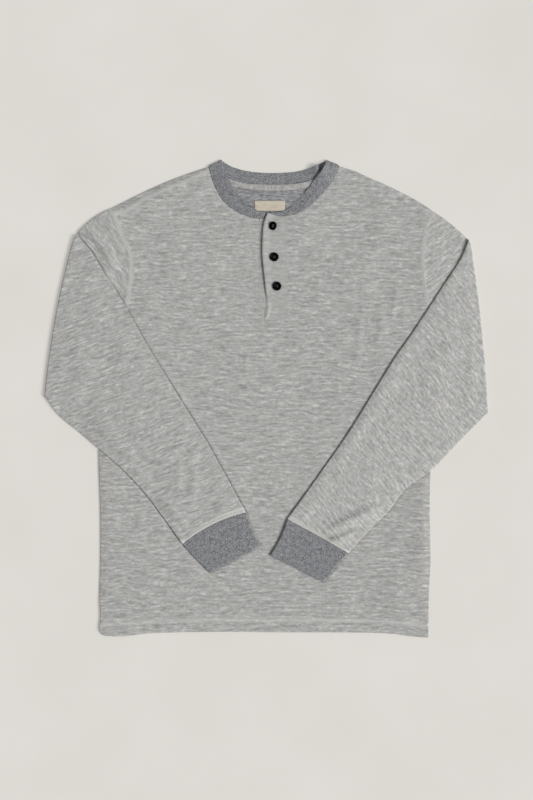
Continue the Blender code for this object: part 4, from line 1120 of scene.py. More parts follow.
def neckband(material):
    """The rib neckband, one strip from placket to placket, whose free edge stands up a little in front."""
    seams, edges, faces = band_rows()
    across_way = edges - seams
    seams = seams + across_way / np.linalg.norm(across_way, axis=1)[:, None] * BAND_GAP
    places = places_on((seams + edges) / 2)
    count = int(places[-1] / RIB_PITCH) * RIB_POINTS
    targets = np.linspace(0.0, places[-1], count + 1)
    seams, edges, faces = (rows_at(rows, places, targets) for rows in (seams, edges, faces))
    faces /= np.linalg.norm(faces, axis=1)[:, None]
    half = RIB_BAND / 2
    width = np.linalg.norm(edges - seams, axis=1)
    wave = rib_wave(np.pi * targets / RIB_PITCH)
    shares = np.linspace(0.0, 1.0, BAND_MIDDLE_ROWS + 2)[1:-1]
    start, end = BAND_PRESSED
    pressed = smooth(edges[:, 0], start - BAND_PRESSED_FADE[0], start)
    pressed = pressed * fade(edges[:, 0], end, end + BAND_PRESSED_FADE[1])
    pressed = (1.0 - BAND_PRESSED_EDGE) * pressed * (faces[:, 2] > 0.5)
    rings = []
    cloth = []
    for sign in (1.0, -1.0):
        face_points = []
        face_cloth = []
        distances = [np.full(len(width), value) for value in BAND_NEAR]
        distances += [BAND_NEAR[-1] + (width - BAND_NEAR[-1] - BAND_FAR[0]) * share for share in shares]
        distances += [width - value for value in BAND_FAR]
        for distance in distances:
            share = distance / width
            at_edge = arc((width - distance) / half) * (1.0 - pressed * smooth(share, 0.3, 1.0))
            at_seam = BAND_AT_SEAM[0] + BAND_AT_SEAM[1] * smooth(distance, 0.0, BAND_AT_SEAM[2])
            body = half * np.minimum(at_edge, at_seam)
            crown = BAND_CROWN * np.sin(np.pi * share) * np.clip(faces[:, 2] * sign, 0.0, 1.0)
            bulk = body + crown + RIB_DEPTH * wave * np.minimum(at_edge, at_seam)
            centre = seams + (edges - seams) * share[:, None]
            centre[:, 2] = np.maximum(centre[:, 2], BAND_FLOOR)
            face_points.append(centre + faces * (sign * bulk)[:, None])
            face_cloth.append(np.column_stack((targets, distance * sign)))
        order = slice(None) if sign > 0.0 else slice(None, None, -1)
        rings += face_points[order]
        cloth += face_cloth[order]
    points = np.array(rings).transpose(1, 0, 2)
    places_in_cloth = np.array(cloth).transpose(1, 0, 2)
    sections, around, _ = points.shape
    index = np.arange(sections * around).reshape(sections, around)
    every = [skin_between(index).reshape(-1, 4), index[:1, ::-1], index[-1:]]
    flat_cloth = places_in_cloth.reshape(-1, 2)
    return build_object("neckband_rib", points.reshape(-1, 3), every, [flat_cloth[block] for block in every],
                        material)


# ---------------------------------------------------------------- patch, tape, label
PATCH_SMOOTH = (326.0, 333.0)  # y over which the patch's wrinkles end below the tape
TAPE_CROWN = (0.35, 1.2, 3.6)  # bulge of the tape's middle, and distances from its edge over which it rises
LABEL_WAVE = (0.35, 31.0, 0.7)      # height, length and phase of the label's wave
LABEL_LOOSE = 2.0              # distance from its head at which the wave starts


def neck_patch(material):
    """The half-moon patch inside the back neck, with a few soft wrinkles."""
    left = PATCH_EDGE[-1][0]
    right = PATCH_EDGE[0][0]
    head = seam_of(BAND_BACK)[::-1] - np.array((0.0, PATCH_INSET))
    head = head[(head[:, 0] > right) & (head[:, 0] < left)]
    flat = plan(ring(curve(PATCH_EDGE, 2.0), head), spacing=1.4, rows=EDGE_ROWS[:2])
    x, y = flat[0].T
    below_tape = fade(y, *PATCH_SMOOTH)
    off_label = smooth(np.maximum(np.abs(x - LABEL_CENTRE_X) - LABEL_WIDTH / 2, y - LABEL_TOP), 0.0, 3.0)
    rise = relief(PATCH_CREASES, x, y) * below_tape * off_label
    return slab("patch_cloth", flat, TRIM_LOW + rise, TRIM, material, under=0.2)


def neck_tape(material):
    """The tape that covers the back neck seam, raised a little between its stitched edges."""
    flat = plan(ring(curve(TAPE_UPPER, 2.0), curve(TAPE_LOWER, 2.0)), spacing=2.0, rows=EDGE_ROWS[:2])
    thick = TRIM + TAPE_CROWN[0] * smooth(flat[2], *TAPE_CROWN[1:])
    return slab("tape_cloth", flat, TRIM_UPPER_LOW, thick, material, under=0.0)


def neck_label(material):
    """The bare woven label, a little wavy along its free lower edge."""
    right = LABEL_CENTRE_X - LABEL_WIDTH / 2
    left = LABEL_CENTRE_X + LABEL_WIDTH / 2
    foot = LABEL_TOP - LABEL_SEEN
    flat = plan(rectangle(right, left, foot, LABEL_TOP, 1.0), spacing=1.4, rows=EDGE_ROWS[:2])
    x, y = flat[0].T
    loose = smooth(LABEL_TOP - y, LABEL_LOOSE, LABEL_HEIGHT)
    height, length, phase = LABEL_WAVE
    wave = height * loose * (1.0 + np.sin(2.0 * np.pi * (x - right) / length + phase))
    return slab("label_cloth", flat, TRIM_UPPER_LOW + wave, TRIM * LABEL_THICK, material, under=0.2)


# ---------------------------------------------------------------- buttons
def circle(radius, count, x=0.0, y=0.0):
    """Points on a circle."""
    turn = 2.0 * np.pi * np.arange(count) / count
    return np.column_stack((x + radius * np.cos(turn), y + radius * np.sin(turn)))


BUTTON_RINGS = (0.97, 0.92, 0.84)        # rings of points on the rim, as shares of the radius
WELL_RINGS = (1.0, 0.93, 0.86, 0.78)     # and in the well, as shares of its radius
THREAD_DEPTH = 1.0             # how far a button's threads go down into its holes
THREAD_RISE = 1.25             # how far they rise from there
THREAD_OVER = 0.25             # how much higher the second pair lies on the first
THREAD_APART = 0.2             # half the distance between the two threads of a pair


def button(name, x, y, tilt, plastic, thread):
    """A four-hole button with a domed rim and a shallow well, and the thread that holds it."""
    radius = BUTTON_DIAMETER / 2
    well = radius - BUTTON_RIM
    reach_of_hole = BUTTON_HOLE_PITCH / math.sqrt(2.0)
    quarters = [math.radians(45.0 + 90.0 * k) for k in range(4)]
    hole_places = [(reach_of_hole * math.cos(q), reach_of_hole * math.sin(q)) for q in quarters]
    holes = [circle(BUTTON_HOLE / 2, 20, *place) for place in hole_places]
    radii = (*(radius * share for share in BUTTON_RINGS), *(well * share for share in WELL_RINGS))
    rings = [(np.vstack((circle(r, 72), circle(r, 72)[:1])), (0.0,)) for r in radii]
    flat = plan(circle(radius, 72), spacing=0.8, lines=rings, holes=holes, rows=(0.12,))
    px, py = flat[0].T
    reach = np.hypot(px, py)
    low = BUTTON_HEIGHT * BUTTON_FLARE * smooth(reach, well, radius * 1.04)
    dome = BUTTON_HEIGHT - BUTTON_HEIGHT * BUTTON_DOME * smooth(reach, radius * 0.8, radius * 1.02) ** 1.4
    high = dome - BUTTON_RECESS * fade(reach, well * 0.76, well * 1.02)
    piece = slab(name, flat, low, high - low, plastic, edge=np.clip(0.82 + flat[2] * 1.5, 0.0, 1.0))
    surface = BUTTON_HEIGHT - BUTTON_RECESS
    strands = []
    for start, end in ((0, 2), (1, 3)):
        share = np.linspace(0.0, 1.0, 9)
        line = np.outer(1.0 - share, hole_places[start]) + np.outer(share, hole_places[end])
        arch = surface - THREAD_DEPTH + THREAD_RISE * np.sin(np.pi * share) ** 0.35
        arch = arch + (THREAD_OVER if start else 0.0)
        for shift in (-THREAD_APART, THREAD_APART):
            strands.append(np.column_stack((line + shift * (1.0 if start else -1.0), arch)))
    loops = strand_object(f"{name}_thread", np.array(strands), 0.22, thread, sides=7)
    angle = math.radians(tilt)
    rise = abs(math.sin(angle)) * radius
    if tilt:
        rise -= BUTTON_HEIGHT * BUTTON_FLARE * smooth(radius, well, radius * 1.04) * math.cos(angle)
    lying = FRONT_TOP + float(body_rise(np.array(x), np.array(y))) + SEAM_GAP + CLOTH + SEAM_GAP
    for thing in (piece, loops):
        thing.location = (x * MM, y * MM, (lying + rise) * MM)
        thing.rotation_euler = (0.0, angle, 0.0)
    return [piece, loops]


# ---------------------------------------------------------------- sewing
THREAD_POINTS = 6              # points along a strand of a cover stitch
THREAD_SINK = 0.02             # how far the middle of a thread lies in the cloth
NEEDLE_ARCH = (-0.12, 0.13, 0.2, 0.13, -0.12)      # height of a stitch from end to end
TACK_ARCH = (-0.1, 0.25, 0.36, 0.36, 0.25, -0.1)
PLACKET_ROW_INSET = 2.0        # distance of the overlap's stitching from its edges
PLACKET_BOX = (3.4, 160.0)     # right side and head of the box at its foot


def on_line(line, places):
    """Points of a polyline at distances from its start."""
    return rows_at(line, places_on(line), places)


def needle_row(line, height, offset=0.0, pitch=STITCH_PITCH, start=0.0, end=None):
    """Strands of a row of straight stitches beside a line, on a height function."""
    path = beside(line, offset)
    total = places_on(path)[-1] if end is None else end
    middles = np.arange(start + pitch / 2, total - pitch / 2, pitch)
    share = np.linspace(-STITCH_HALF, STITCH_HALF, len(NEEDLE_ARCH))
    places = middles[:, None] + share * pitch
    xy = on_line(path, places.ravel())
    z = height(xy[:, 0], xy[:, 1]).reshape(places.shape) + np.array(NEEDLE_ARCH)
    return np.dstack((xy.reshape(*places.shape, 2), z))


def cover_threads(line, height, offsets):
    """Strands that cross a sewn band from row to row, as a cover stitch does."""
    first, second = (beside(line, offset) for offset in offsets)
    total = min(places_on(first)[-1], places_on(second)[-1])
    middles = np.arange(STITCH_PITCH / 2, total - STITCH_PITCH, STITCH_PITCH)
    share = np.linspace(0.0, 1.0, THREAD_POINTS)
    strands = []
    for lean, shift in ((COVER_LEAN, 0.0), (-COVER_LEAN, 0.1)):
        start = on_line(first, middles + shift * STITCH_PITCH)
        end = on_line(second, middles + (lean + shift) * STITCH_PITCH)
        xy = start[:, None] * (1.0 - share)[None, :, None] + end[:, None] * share[None, :, None]
        z = height(xy[..., 0].ravel(), xy[..., 1].ravel()).reshape(xy.shape[:2])
        z = z + 0.02 + 0.1 * np.sin(np.pi * share)
        strands.append(np.dstack((xy, z)))
    return np.concatenate(strands)


def surface_height(piece):
    """Height function of a piece's upper surface, in millimetres, by rays from above."""
    mesh = piece.data
    points = [tuple(vert.co / MM) for vert in mesh.vertices]
    tree = BVHTree.FromPolygons(points, [tuple(face.vertices) for face in mesh.polygons])
    high = Vector((0.0, 0.0, -1.0))

    def height(x, y):
        found = []
        last = FRONT_TOP
        for px, py in zip(x, y):
            hit = tree.ray_cast((px, py, 60.0), high)[0]
            last = hit.z if hit is not None else last
            found.append(last)
        return np.array(found)

    return height


def with_arches(strands):
    """Needle stitches brought to the same number of points as cover threads."""
    old = np.linspace(0.0, 1.0, strands.shape[1])
    new = np.linspace(0.0, 1.0, THREAD_POINTS)
    return np.array([rows_at(strand, old, new) for strand in strands])


def cover_band(name, line, height, offsets, thread):
    """A cover-stitched band: two needle rows and the threads that cross between them."""
    rows = [with_arches(needle_row(line, height, offset)) for offset in offsets]
    crossing = cover_threads(line, height, offsets)
    return strand_object(name, np.concatenate((*rows, crossing)), THREAD_RADIUS, thread)


def seam_height(line):
    """Height function of the front over the ridge of a sewn band."""
    def height(x, y):
        return FRONT_TOP + body_rise(x, y) + seam_ridge(away_from(line, x, y)) - THREAD_SINK

    return height


def armhole_band(name, armhole, cover, thread):
    """The cover stitch of an armhole, as far as it runs under the folded sleeve's edge."""
    line = curve(armhole, 2.0)
    hidden = inside(cover, *line.T)
    last = len(line) if not hidden.any() else min(len(line), int(np.argmax(hidden)) + 6)
    return cover_band(name, line[:last], seam_height(line), (-BAND_HALF, BAND_HALF), thread)


def shoulder_band(thread):
    """The cover stitch of the right shoulder seam, which lies forward of the shoulder's edge."""
    height = seam_height(SHOULDER_LINE)
    return cover_band("stitch_shoulder_right", SHOULDER_LINE[3:-3], height, (-2.4, 2.4), thread)


def hem_rows(thread):
    """The two needle rows of the hem."""
    def height(x, y):
        ridge, step = hem_profile(away_from(HEM_LINE, x, y))
        return FRONT_TOP + body_rise(x, y) + ridge + step - 2.0 * THREAD_SINK

    rows = [needle_row(HEM_LINE, height, offset, pitch=3.4, start=3.0, end=places_on(HEM_LINE)[-1] - 3.0)
            for offset in HEM_ROWS]
    return strand_object("stitch_hem", np.concatenate(rows), THREAD_RADIUS, thread)


def placket_rows(thread):
    """Topstitching of the overlap: both edges, the box at its foot and the bar tack."""
    stitched = PLACKET_STITCHED_EDGE - PLACKET_ROW_INSET
    low = PLACKET_FOOT + PLACKET_ROW_INSET
    right, box_head = PLACKET_BOX
    long_side = ((stitched, low), (stitched, 288.0))
    foot = ((right, low), (stitched, low))
    head = ((right, box_head), (stitched, box_head))
    edge = beside(PLACKET_LINE, PLACKET_ROW_INSET)
    edge = edge[edge[:, 1] < 294.0]
    rows = [needle_row(resampled(line, 2.0), placket_top, pitch=2.7)
            for line in (long_side, foot, head, edge)]
    return strand_object("stitch_placket", np.concatenate(rows), THREAD_RADIUS * 0.9, thread)


def bar_tack(thread):
    """The dense zigzag that ends the placket's opening, from beside its edge to the foot."""
    centre = on_line(TACK_LINE, np.linspace(0.0, 1.0, TACK_PASSES) * places_on(TACK_LINE)[-1])
    cross = np.linspace(-TACK_HALF, TACK_HALF, THREAD_POINTS)
    lean = np.where(np.arange(TACK_PASSES) % 2, 0.35, -0.35)[:, None] * cross / TACK_HALF
    xy = centre[:, None] + cross[None, :, None] * normals_of(TACK_LINE)[0]
    xy = xy + lean[..., None] * unit(TACK_LINE[-1] - TACK_LINE[0])
    z = placket_top(xy[..., 0].ravel(), xy[..., 1].ravel()).reshape(xy.shape[:2]) + np.array(TACK_ARCH)
    return strand_object("stitch_bar_tack", np.dstack((xy, z)), THREAD_RADIUS * 1.25, thread)


def cuff_band(name, sleeve_piece, sections, thread):
    """The cover stitch above a cuff, on the sleeve's upper face."""
    row = spline(sections, SECTION_STEPS)[-1]
    line = section_points(row, np.linspace(3.0, width_of(row) - 3.0, 40))
    inward = normals_of(line)[20] @ (np.array(sections[-2][0:2]) - row[0:2])
    sign = 1.0 if inward > 0.0 else -1.0
    height = surface_height(sleeve_piece)
    return cover_band(name, line, height, tuple(sign * place for place in CUFF_BAND), thread)


def tape_rows(thread, dark_thread_and_painted_shadow):
    """The needle rows along the edges of the neck tape: pale above, and at the lower edge a thick, sunk row
    of dark thread that paints the shadow under the tape's edge.
    """
    def height(x, y):
        return np.full(np.shape(x), TRIM_UPPER_LOW + TRIM + 0.1)

    upper = needle_row(curve(TAPE_UPPER, 2.0), height, -1.7, pitch=2.6, start=2.0)
    # painted shadow: this dark row stands for the shadow under the tape's lower edge
    lower = needle_row(curve(TAPE_LOWER, 2.0), height, -0.35, pitch=2.6, start=2.0)
    lower[..., 2] -= 0.35
    return [strand_object("stitch_tape_upper", upper, THREAD_RADIUS * 0.8, thread),
            strand_object("stitch_tape_lower_painted_shadow", lower, THREAD_RADIUS * 1.3, dark_thread_and_painted_shadow)]


# ---------------------------------------------------------------- materials
class Nodes:
    """A material's node tree, with short calls that make a node and give its output."""

    def __init__(self, name):
        self.material = bpy.data.materials.new(name)
        self.material.use_nodes = True
        self.tree = self.material.node_tree
        self.shader = self.tree.nodes["Principled BSDF"]
        self.noises = 0

    def feed(self, socket, value):
        """Links an output to a socket, or gives the socket a value."""
        if isinstance(value, bpy.types.NodeSocket):
            self.tree.links.new(value, socket)
        else:
            socket.default_value = value

    def make(self, kind, inputs, output=0, **settings):
        made = self.tree.nodes.new(kind)
        for key, value in settings.items():
            setattr(made, key, value)
        for key, value in inputs.items():
            self.feed(made.inputs[key], value)
        return made.outputs[output]

    def math(self, operation, *values):
        return self.make("ShaderNodeMath", dict(enumerate(values)), operation=operation)

    def weighted(self, *parts):
        """Sum of outputs times their weights."""
        terms = [self.math("MULTIPLY", output, weight) for output, weight in parts]
        total = terms[0]
        for term in terms[1:]:
            total = self.math("ADD", total, term)
        return total

    def wave(self, value, factor):
        """Sine of a value times a factor."""
        return self.math("SINE", self.math("MULTIPLY", value, factor))

    def axes(self, place):
        """x and y of a vector."""
        x = self.make("ShaderNodeSeparateXYZ", {0: place})
        return x, x.node.outputs[1]

    def vector(self, operation, *values):
        return self.make("ShaderNodeVectorMath", dict(enumerate(values)), operation=operation)

    def cloth_place(self):
        """The place in the cloth, in millimetres: x along a course and y along a wale."""
        place = self.make("ShaderNodeUVMap", {}, uv_map="UVMap")
        return self.vector("MULTIPLY", place, (1.0 / MM, 1.0 / MM, 0.0))

    def noise(self, place, size_x, size_y, detail=2.0, roughness=0.5):
        """Noise from 0 to 1 in patches of about size_x by size_y millimetres, unlike every other call's."""
        self.noises += 1
        scale = (1.0 / size_x, 1.0 / size_y, 0.0)
        shift = (61.7 * self.noises, 37.3 * self.noises, 0.0)
        scaled = self.vector("MULTIPLY_ADD", place, scale, shift)
        return self.make("ShaderNodeTexNoise", {"Vector": scaled, "Scale": 1.0, "Detail": detail,
                                                "Roughness": roughness}, noise_dimensions="2D")

    def between(self, value, low, high, out_low=0.0, out_high=1.0):
        return self.make("ShaderNodeMapRange", {"Value": value, "From Min": low, "From Max": high,
                                                "To Min": out_low, "To Max": out_high})

    def ramp(self, value, stops):
        """Colour of a value on a ramp of (position, (red, green, blue))."""
        output = self.make("ShaderNodeValToRGB", {"Fac": value})
        elements = output.node.color_ramp.elements
        while len(elements) < len(stops):
            elements.new(1.0)
        for element, (position, colour) in zip(elements, stops):
            element.position = position
            element.color = (*colour, 1.0)
        return output

    def mix(self, share, first, second, blend="MIX"):
        return self.make("ShaderNodeMix", {0: share, 6: first, 7: second}, output=2, data_type="RGBA",
                         blend_type=blend)

    def finish(self, colour, height, depth, roughness, sheen=0.0):
        """Colour, bump and the even values of the surface."""
        bump = self.make("ShaderNodeBump", {"Height": height, "Distance": depth * MM, "Strength": 1.0})
        for key, value in (("Base Color", colour), ("Normal", bump), ("Roughness", roughness)):
            self.feed(self.shader.inputs[key], value)
        self.shader.inputs["Sheen Weight"].default_value = sheen
        self.shader.inputs["Sheen Roughness"].default_value = 0.5
        self.shader.inputs["Specular IOR Level"].default_value = 0.25
        return self.material


CLOTH_SHEEN = 0.12
# Jersey: colours by the share of light yarn, the faint tints over them, and the colour of its pale bands.
JERSEY_SHADES = ((0.0, (0.272, 0.2695, 0.2635)), (0.42, (0.374, 0.3705, 0.3595)),
                 (0.66, (0.437, 0.4325, 0.4165)), (1.0, (0.580, 0.574, 0.551)))
JERSEY_TINTS = ((0.36, (0.990, 0.993, 1.014)), (0.62, (1.003, 1.0, 0.985)))
JERSEY_PALE = (0.60, 0.597, 0.575)
TAPE_SHADES = ((0.0, (0.322, 0.314, 0.304)), (0.5, (0.414, 0.404, 0.392)), (1.0, (0.525, 0.514, 0.499)))
LABEL_SHADES = ((0.0, (0.505, 0.444, 0.347)), (0.5, (0.580, 0.517, 0.414)), (1.0, (0.645, 0.586, 0.486)))
PLASTIC_SHADES = ((0.35, (0.0010, 0.0011, 0.0014)), (0.7, (0.0026, 0.0028, 0.0033)))
FLOOR_SHADES = ((0.3, (0.705, 0.680, 0.640)), (0.7, (0.735, 0.710, 0.672)))


def knit_height(nodes, place, wale, course):
    """Height of the V stitches of a plain knit, from 0 to 1."""
    x, y = nodes.axes(place)
    column = nodes.math("PINGPONG", nodes.math("DIVIDE", x, wale), 0.5)
    slant = nodes.math("ADD", nodes.math("DIVIDE", y, course), nodes.math("MULTIPLY", column, 1.1))
    return nodes.weighted((nodes.wave(slant, 2.0 * math.pi), 0.22), (column, 1.2))


def slub_jersey(name, tone=1.0, contrast=0.82, stretch=1.0):
    """Heathered slub jersey: light and dark slubs along the courses of a fine knit."""
    nodes = Nodes(name)
    place = nodes.cloth_place()
    wander = nodes.noise(place, 95.0, 70.0, detail=1.0)
    ripple = nodes.noise(place, 24.0, 14.0, detail=0.0)
    shift = nodes.math("ADD", nodes.between(wander, 0.0, 1.0, -6.0, 6.0),
                       nodes.between(ripple, 0.0, 1.0, -1.3, 1.3))
    bent = nodes.vector("ADD", place, nodes.make("ShaderNodeCombineXYZ", {"Y": shift}))
    slub = nodes.noise(bent, 10.5 * stretch, 3.3, detail=1.0, roughness=0.5)
    yarn = nodes.noise(bent, 4.6, 2.0, detail=1.0, roughness=0.6)
    long_slub = nodes.noise(bent, 34.0 * stretch, 4.1, detail=2.0, roughness=0.4)
    blend = nodes.weighted((slub, 0.38), (yarn, 0.24), (long_slub, 0.38))
    value = nodes.between(blend, 0.5 - 0.16 / contrast, 0.5 + 0.16 / contrast)
    colour = nodes.ramp(value, [(stop, [part * tone for part in shade]) for stop, shade in JERSEY_SHADES])
    tint = nodes.noise(place, 15.0, 9.0, detail=1.0)
    colour = nodes.mix(1.0, colour, nodes.ramp(tint, JERSEY_TINTS), "MULTIPLY")
    pale = nodes.make("ShaderNodeAttribute", {}, output=2, attribute_name="pale")
    colour = nodes.mix(pale, colour, (*(part * tone for part in JERSEY_PALE), 1.0))
    height = nodes.weighted((knit_height(nodes, bent, 1.25, 0.95), 0.28), (blend, 1.6))
    roughness = nodes.between(blend, 0.35, 0.65, 0.96, 0.86)
    return nodes.finish(colour, height, 0.5, roughness, sheen=CLOTH_SHEEN)


def heather(name, dark, light, grain_x, grain_y, depth):
    """Heathered yarns, dark and light, in a rib or a plain knit."""
    nodes = Nodes(name)
    place = nodes.cloth_place()
    fine = nodes.noise(place, grain_x, grain_y, detail=2.0, roughness=0.7)
    broad = nodes.noise(place, grain_x * 4.0, grain_y * 3.0, detail=1.0)
    fleck = nodes.noise(place, grain_x * 0.9, grain_y * 1.6, detail=1.0)
    blend = nodes.weighted((fine, 0.75), (broad, 0.25))
    middle = tuple((a + b) / 2.15 for a, b in zip(dark, light))
    colour = nodes.ramp(nodes.between(blend, 0.34, 0.66), ((0.0, dark), (0.5, middle), (1.0, light)))
    flecks = nodes.between(fleck, 0.64, 0.74)
    colour = nodes.mix(nodes.math("MULTIPLY", flecks, 0.5), colour, (*(1.25 * c for c in light), 1.0))
    height = nodes.weighted((knit_height(nodes, place, 1.25, 0.9), 0.4), (blend, 1.1))
    roughness = nodes.between(fine, 0.3, 0.7, 0.96, 0.88)
    return nodes.finish(colour, height, depth, roughness, sheen=CLOTH_SHEEN)


def tape_material():
    """Twill tape with fine ticks across its length."""
    nodes = Nodes("neck_tape_weave")
    place = nodes.cloth_place()
    ticks = nodes.noise(place, 1.3, 7.0, detail=1.0, roughness=0.6)
    broad = nodes.noise(place, 6.0, 4.0, detail=1.0)
    blend = nodes.weighted((ticks, 0.7), (broad, 0.3))
    x, y = nodes.axes(place)
    twill = nodes.wave(nodes.math("ADD", x, nodes.math("MULTIPLY", y, 2.0)), 4.2)
    height = nodes.math("ADD", nodes.math("MULTIPLY", twill, 0.2), blend)
    colour = nodes.ramp(nodes.between(blend, 0.36, 0.64), TAPE_SHADES)
    return nodes.finish(colour, height, 0.4, 0.88, sheen=0.1)


def label_material():
    """Plain woven label cloth, bare."""
    nodes = Nodes("label_weave")
    place = nodes.cloth_place()
    shade = nodes.noise(place, 9.0, 6.0, detail=2.0)
    thread = nodes.noise(place, 2.4, 0.5, detail=1.0)
    blend = nodes.weighted((shade, 0.5), (thread, 0.5))
    x, y = nodes.axes(place)
    weave = nodes.math("MULTIPLY", nodes.wave(x, 2.0 * math.pi / 0.62), nodes.wave(y, 2.0 * math.pi / 0.5))
    height = nodes.math("ADD", nodes.math("MULTIPLY", weave, 0.35), blend)
    colour = nodes.ramp(nodes.between(blend, 0.3, 0.7), LABEL_SHADES)
    return nodes.finish(colour, height, 0.18, 0.78, sheen=0.05)


def thread_material(name, colour, roughness=0.7):
    """Spun thread, with its twist as fine bump along each stitch."""
    nodes = Nodes(name)
    place = nodes.cloth_place()
    twist = nodes.noise(place, 0.35, 0.35, detail=1.0)
    dark = tuple(0.78 * c for c in colour)
    shades = nodes.ramp(nodes.between(twist, 0.3, 0.7), ((0.0, dark), (1.0, colour)))
    return nodes.finish(shades, twist, 0.12, roughness, sheen=0.1)


def button_plastic():
    """Polished black plastic with faint turned marks."""
    nodes = Nodes("black_button")
    place = nodes.cloth_place()
    cloud = nodes.noise(place, 1.6, 1.6, detail=3.0, roughness=0.6)
    reach = nodes.vector("LENGTH", place).node.outputs["Value"]
    height = nodes.math("ADD", nodes.math("MULTIPLY", nodes.wave(reach, 22.0), 0.12), cloud)
    roughness = nodes.between(cloud, 0.3, 0.7, 0.32, 0.44)
    material = nodes.finish(nodes.ramp(cloud, PLASTIC_SHADES), height, 0.012, roughness)
    nodes.shader.inputs["Specular IOR Level"].default_value = 0.05
    return material


# ---------------------------------------------------------------- floor, light, camera
VIEW_CENTRE = (0.6, -2.2)      # the point in the middle of the picture
VIEW_LENGTH = 1280.0           # length of the floor that the picture's long side shows
CAMERA_HEIGHT = 2800.0
SENSOR = 36.0
PAINTED_FLOOR_GLOW = 0.42                    # share of the floor's brightness that is painted glow, emitted by the floor itself so that shadows on it stay light


def floor_material():
    """Matt pale board, almost plain, with painted glow: part of its brightness is emission from its own
    surface, so that shadows on it stay light.
    """
    nodes = Nodes("pale_floor")
    place = nodes.make("ShaderNodeTexCoord", {}, output=3)
    cloud = nodes.make("ShaderNodeTexNoise", {"Vector": place, "Scale": 6.0, "Detail": 3.0})
    colour = nodes.ramp(cloud, FLOOR_SHADES)
    # painted glow: emission that lightens the shadows cast on the floor
    painted_glow = nodes.mix(1.0, colour, (PAINTED_FLOOR_GLOW, PAINTED_FLOOR_GLOW, PAINTED_FLOOR_GLOW, 1.0), "MULTIPLY")
    nodes.feed(nodes.shader.inputs["Emission Color"], painted_glow)
    nodes.shader.inputs["Emission Strength"].default_value = 1.0
    colour = nodes.mix(1.0, colour, (1.0 - PAINTED_FLOOR_GLOW, 1.0 - PAINTED_FLOOR_GLOW, 1.0 - PAINTED_FLOOR_GLOW, 1.0), "MULTIPLY")
    return nodes.finish(colour, cloud, 0.2, 0.75)


def floor():
    """The floor that the shirt lies on."""
    mesh = bpy.data.meshes.new("floor")
    half = 3.0
    drop = -0.02 * MM
    mesh.from_pydata([(-half, -half, drop), (half, -half, drop), (half, half, drop), (-half, half, drop)], [],
                     [(0, 1, 2, 3)])
    mesh.materials.append(floor_material())
    piece = bpy.data.objects.new("floor", mesh)
    bpy.context.scene.collection.objects.link(piece)


KEY_FROM = (0.72, -0.26, 0.64)     # the way from the shirt to the key light
KEY_STRENGTH = 3.22
KEY_ANGLE = 30.0
FILL_STRENGTH = 0.348


def studio():
    """Soft studio light, mostly from the right, and an even fill."""
    data = bpy.data.lights.new("key", "SUN")
    data.energy = KEY_STRENGTH
    data.angle = math.radians(KEY_ANGLE)
    data.color = (1.0, 0.995, 0.985)
    lamp = bpy.data.objects.new("key", data)
    lamp.location = KEY_FROM
    lamp.rotation_mode = "QUATERNION"
    lamp.rotation_quaternion = (-Vector(KEY_FROM)).to_track_quat("-Z", "Y")
    bpy.context.scene.collection.objects.link(lamp)
    world = bpy.data.worlds.new("studio")
    world.use_nodes = True
    world.node_tree.nodes["Background"].inputs["Color"].default_value = (0.96, 0.98, 1.0, 1.0)
    world.node_tree.nodes["Background"].inputs["Strength"].default_value = FILL_STRENGTH
    bpy.context.scene.world = world
    bpy.context.scene.view_settings.view_transform = "Standard"


def camera():
    """The camera, straight above the shirt."""
    data = bpy.data.cameras.new("camera")
    data.sensor_width = SENSOR
    data.lens = SENSOR * CAMERA_HEIGHT / VIEW_LENGTH
    data.clip_start = 0.05
    data.clip_end = 20.0
    seen = bpy.data.objects.new("camera", data)
    seen.location = (VIEW_CENTRE[0] * MM, VIEW_CENTRE[1] * MM, CAMERA_HEIGHT * MM)
    bpy.context.scene.collection.objects.link(seen)
    bpy.context.scene.camera = seen


# ---------------------------------------------------------------- everything together
def place_piece(piece, node):
    """A piece that stands for a CAD node: hung on the root body, with the node's solid hidden."""
    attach(piece, "root")
    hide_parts(node)
    return piece


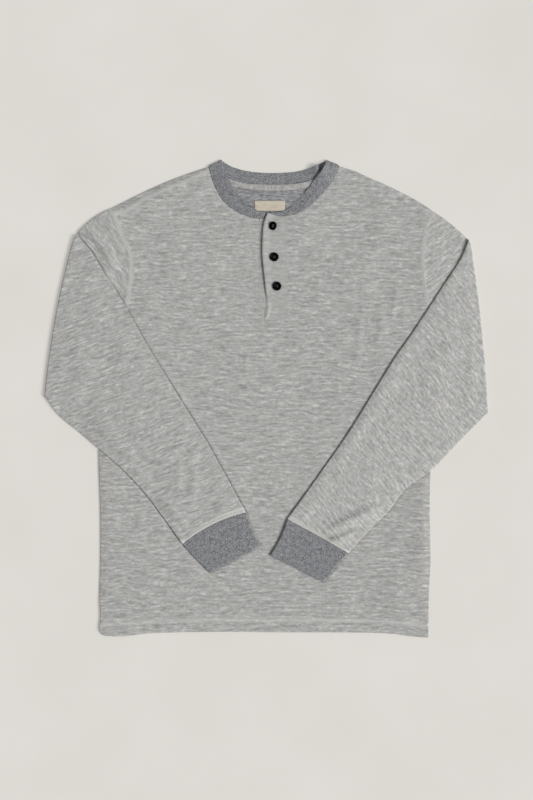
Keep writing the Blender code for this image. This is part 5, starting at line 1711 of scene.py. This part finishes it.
def build():
    """Every piece, its stitches, and the stage."""
    jersey = slub_jersey("slub_jersey_knit")
    placket_jersey = slub_jersey("slub_jersey_placket", tone=0.98, contrast=0.5)
    # painted light: the left sleeve's jersey is an 8% lighter copy (tone 1.08), standing in for the light
    # that falls more on that sleeve; stretch 0.7 gives it shorter slubs
    left_jersey_painted_lighter = slub_jersey("slub_jersey_left_painted_lighter", tone=1.08, stretch=0.7)
    rib = heather("heather_rib", (0.098, 0.100, 0.107), (0.345, 0.348, 0.362), 1.7, 1.9, 0.5)
    patch = heather("heather_jersey", (0.156, 0.156, 0.159), (0.392, 0.394, 0.402), 7.0, 1.7, 0.4)
    thread = thread_material("grey_thread", (0.545, 0.542, 0.515))
    # dark thread of the buttons, also used for the painted shadow line under the neck tape
    dark_thread_and_painted_shadow = thread_material("dark_thread_and_painted_shadow", (0.085, 0.086, 0.090), 0.5)
    plastic = button_plastic()

    back = place_piece(back_panel(jersey), "back_panel")
    front = place_piece(front_panel(jersey), "front_panel")
    underlap = place_piece(placket_lower(placket_jersey), "placket_lower")
    overlap = place_piece(placket_upper(placket_jersey), "placket_upper")
    right = place_piece(sleeve("sleeve_right_cloth", -1.0, ARMHOLE_RIGHT, SLEEVE_RIGHT_SECTIONS,
                               SLEEVE_RIGHT_CREASES, EDGE_LIFT_RIGHT, GRAIN_RIGHT, jersey),
                        "sleeve_right")
    left = place_piece(sleeve("sleeve_left_cloth", 1.0, ARMHOLE_LEFT, SLEEVE_LEFT_SECTIONS,
                              SLEEVE_LEFT_CREASES, EDGE_LIFT_LEFT, GRAIN_LEFT, left_jersey_painted_lighter),
                       "sleeve_left")
    cuff_right = place_piece(cuff("cuff_right_rib", SLEEVE_RIGHT_SECTIONS, CUFF_RIGHT_SECTIONS,
                                  EDGE_LIFT_RIGHT[-1][1], rib), "cuff_right")
    cuff_left = place_piece(cuff("cuff_left_rib", SLEEVE_LEFT_SECTIONS, CUFF_LEFT_SECTIONS,
                                 EDGE_LIFT_LEFT[-1][1], rib), "cuff_left")
    band = place_piece(neckband(rib), "neckband")
    half_moon = place_piece(neck_patch(patch), "neck_patch")
    tape = place_piece(neck_tape(tape_material()), "neck_tape")
    label = place_piece(neck_label(label_material()), "neck_label")
    for index, (x, y, tilt) in enumerate(BUTTONS):
        body, loops = button(f"button_{index + 1}_body", x, y, tilt, plastic, dark_thread_and_painted_shadow)
        place_piece(body, f"button_{index + 1}")
        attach(loops, "root")

    armhole_stitches = [armhole_band("stitch_armhole_right", ARMHOLE_RIGHT, COVERS[0], thread),
                        armhole_band("stitch_armhole_left", ARMHOLE_LEFT, COVERS[1], thread)]
    body_stitches = [shoulder_band(thread), hem_rows(thread)]
    placket_stitches = [placket_rows(thread), bar_tack(thread)]
    cuff_stitches = [cuff_band("stitch_cuff_right", right, SLEEVE_RIGHT_SECTIONS, thread),
                     cuff_band("stitch_cuff_left", left, SLEEVE_LEFT_SECTIONS, thread)]
    tape_stitches = tape_rows(thread, dark_thread_and_painted_shadow)
    for piece in (*armhole_stitches, *body_stitches, *placket_stitches, *cuff_stitches, *tape_stitches):
        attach(piece, "root")

    floor()
    studio()
    camera()


build()
